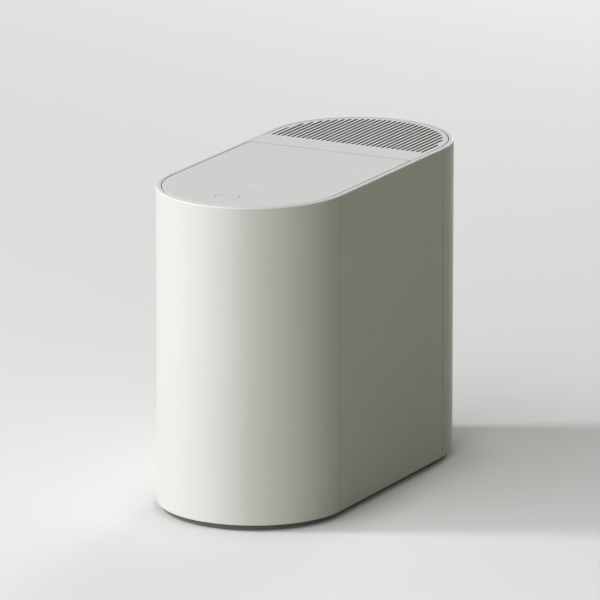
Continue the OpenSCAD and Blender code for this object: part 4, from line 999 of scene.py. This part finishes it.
def pale_world(strength, light, shown):
    """World that gives an even light of one strength and colour, and is seen as a pale grey."""
    world = bpy.data.worlds.new("studio")
    bpy.context.scene.world = world
    world.use_nodes = True
    tree = world.node_tree
    tree.nodes.clear()
    mix = tree.nodes.new("ShaderNodeMixShader")
    tree.links.new(seen_directly(tree), mix.inputs[0])
    for socket, tint, share in ((1, linear(light), strength), (2, linear(shown), 1.0)):
        background = tree.nodes.new("ShaderNodeBackground")
        background.inputs["Color"].default_value = tint
        background.inputs["Strength"].default_value = share
        tree.links.new(background.outputs[0], mix.inputs[socket])
    tree.links.new(mix.outputs[0], tree.nodes.new("ShaderNodeOutputWorld").inputs["Surface"])


def floor_paint(stage):
    """Matt floor paint with a faint mottle, which throws back less light onto the object than it shows. The
    camera also sees a glow on it, painted light that stands in for the light on a lit sweep. With u metres
    to the camera's right of the object and v metres away from the camera, the glow is level + across u +
    v (away + bend v + twist u), kept between the least and the most glow, and less of it close to the foot
    of the object as painted contact shade, where the distance from the plan's middle line is hypot(x, |y|
    past the arcs' axes)."""
    made = Finish("floor_paint", 1.0, specular=0.0)
    tree, link = made.tree, made.tree.links.new
    mottle = made.ramp(made.noise(3.0), 0.3, 0.7, shaded(stage.floor, 0.995), shaded(stage.floor, 1.005))
    seen = seen_directly(tree)
    pick = made.node("ShaderNodeMix", data_type="RGBA")
    link(seen, pick.inputs[0])
    pick.inputs[6].default_value = linear(stage.bounce)
    link(mottle, pick.inputs[7])
    made.drive("Base Color", pick.outputs[2])

    # Painted light: the glow's change across and away stands in for the light over a lit sweep
    turned = made.node("ShaderNodeMapping", Vector=made.place, Rotation=(0.0, 0.0, -stage.camera_turn))
    axes = made.node("ShaderNodeSeparateXYZ", Vector=turned.outputs["Vector"])
    right, away = axes.outputs["X"], axes.outputs["Y"]
    slope = combine(tree, "ADD", combine(tree, "MULTIPLY", away, stage.glow_bend),
                    combine(tree, "MULTIPLY", right, stage.glow_twist))
    rise = combine(tree, "MULTIPLY", away, combine(tree, "ADD", slope, stage.glow_away))
    even = combine(tree, "ADD", combine(tree, "MULTIPLY", right, stage.glow_across), stage.glow_level)
    kept = made.node("ShaderNodeClamp", Value=combine(tree, "ADD", rise, even), Min=stage.glow_least,
                     Max=stage.glow_most)

    casing = bpy.context.scene.composter_casing
    plan = made.node("ShaderNodeSeparateXYZ", Vector=made.place)
    past = combine(tree, "SUBTRACT", combine(tree, "ABSOLUTE", plan.outputs["Y"], 0.0), casing.arc_y)
    past = combine(tree, "MAXIMUM", 0.0, past)
    apart = made.node("ShaderNodeCombineXYZ", X=plan.outputs["X"], Y=past).outputs["Vector"]
    reach = made.node("ShaderNodeVectorMath", operation="LENGTH")
    link(apart, reach.inputs[0])
    # Painted contact shade: the glow is cut back close to the foot of the object
    ends = {"From Min": casing.half_w - stage.contact_w / 3, "From Max": casing.half_w + stage.contact_w,
            "To Min": stage.contact}
    glow_left_by_contact_shade = made.node("ShaderNodeMapRange", Value=reach.outputs["Value"],
                           interpolation_type="SMOOTHSTEP", **ends)
    total = combine(tree, "MULTIPLY", glow_left_by_contact_shade.outputs["Result"], kept.outputs["Result"])
    glow = made.node("ShaderNodeEmission", Strength=combine(tree, "MULTIPLY", total, seen))
    both = tree.nodes.new("ShaderNodeAddShader")
    link(made.shader.outputs[0], both.inputs[0])
    link(glow.outputs[0], both.inputs[1])
    link(both.outputs[0], tree.nodes["Material Output"].inputs["Surface"])
    return made.material


class COMPOSTER_OT_stage(bpy.types.Operator):
    """Set up the floor, the soft lights and the camera"""

    bl_idname = "composter.stage"
    bl_label = "Studio"

    def execute(self, context):
        scene = context.scene
        stage = scene.composter_stage
        surface = Surface()
        rim = circle((0, 0), stage.floor_r, FLOOR_SIDES)
        surface.cap([surface.add(np.column_stack([rim, np.zeros(FLOOR_SIDES)]))])
        floor = surface.object("floor")
        floor.data.materials.append(floor_paint(stage))
        pale_world(stage.sky, stage.sky_tint, stage.backdrop)
        for name in LAMPS:
            area_light(name, stage)
        data = bpy.data.cameras.new("camera")
        data.sensor_width = 36.0
        data.lens = stage.lens
        data.clip_end = 200.0
        camera = bpy.data.objects.new("camera", data)
        camera.location = stage.camera_at
        camera.rotation_euler = Euler((math.pi / 2 - stage.camera_tilt, 0.0, stage.camera_turn))
        scene.collection.objects.link(camera)
        scene.camera = camera
        scene.view_settings.view_transform = "Standard"
        return {"FINISHED"}


class COMPOSTER_PT_panel(bpy.types.Panel):
    """Lists the operators in the order in which they run"""

    bl_idname = "COMPOSTER_PT_panel"
    bl_label = "Food waste composter"
    bl_space_type = "VIEW_3D"
    bl_region_type = "UI"
    bl_category = "Composter"

    def draw(self, context):
        for group in ("composter_casing", "composter_covers", "composter_colours", "composter_stage"):
            box = self.layout.box()
            for name in GROUPS[group].__annotations__:
                box.prop(getattr(context.scene, group), name)
        for operator in OPERATORS:
            self.layout.operator(operator.bl_idname)


GROUPS = {
    "composter_casing": CasingSizes,
    "composter_covers": CoverSizes,
    "composter_colours": FinishColours,
    "composter_stage": StageSettings,
}
OPERATORS = (COMPOSTER_OT_finishes, COMPOSTER_OT_casing, COMPOSTER_OT_lid, COMPOSTER_OT_button,
             COMPOSTER_OT_band, COMPOSTER_OT_grille, COMPOSTER_OT_stage)


def register():
    """Registers the settings, the operators and the panel."""
    for name, group in GROUPS.items():
        bpy.utils.register_class(group)
        setattr(bpy.types.Scene, name, PointerProperty(type=group))
    for operator in OPERATORS:
        bpy.utils.register_class(operator)
    bpy.utils.register_class(COMPOSTER_PT_panel)


def unregister():
    """Takes back what register did."""
    bpy.utils.unregister_class(COMPOSTER_PT_panel)
    for operator in reversed(OPERATORS):
        bpy.utils.unregister_class(operator)
    for name, group in GROUPS.items():
        delattr(bpy.types.Scene, name)
        bpy.utils.unregister_class(group)


def main():
    """Builds every piece and the stage."""
    register()
    bpy.ops.composter.finishes()
    bpy.ops.composter.casing()
    bpy.ops.composter.lid()
    bpy.ops.composter.button()
    bpy.ops.composter.band()
    bpy.ops.composter.grille()
    bpy.ops.composter.stage()


if __name__ == "__main__":
    main()
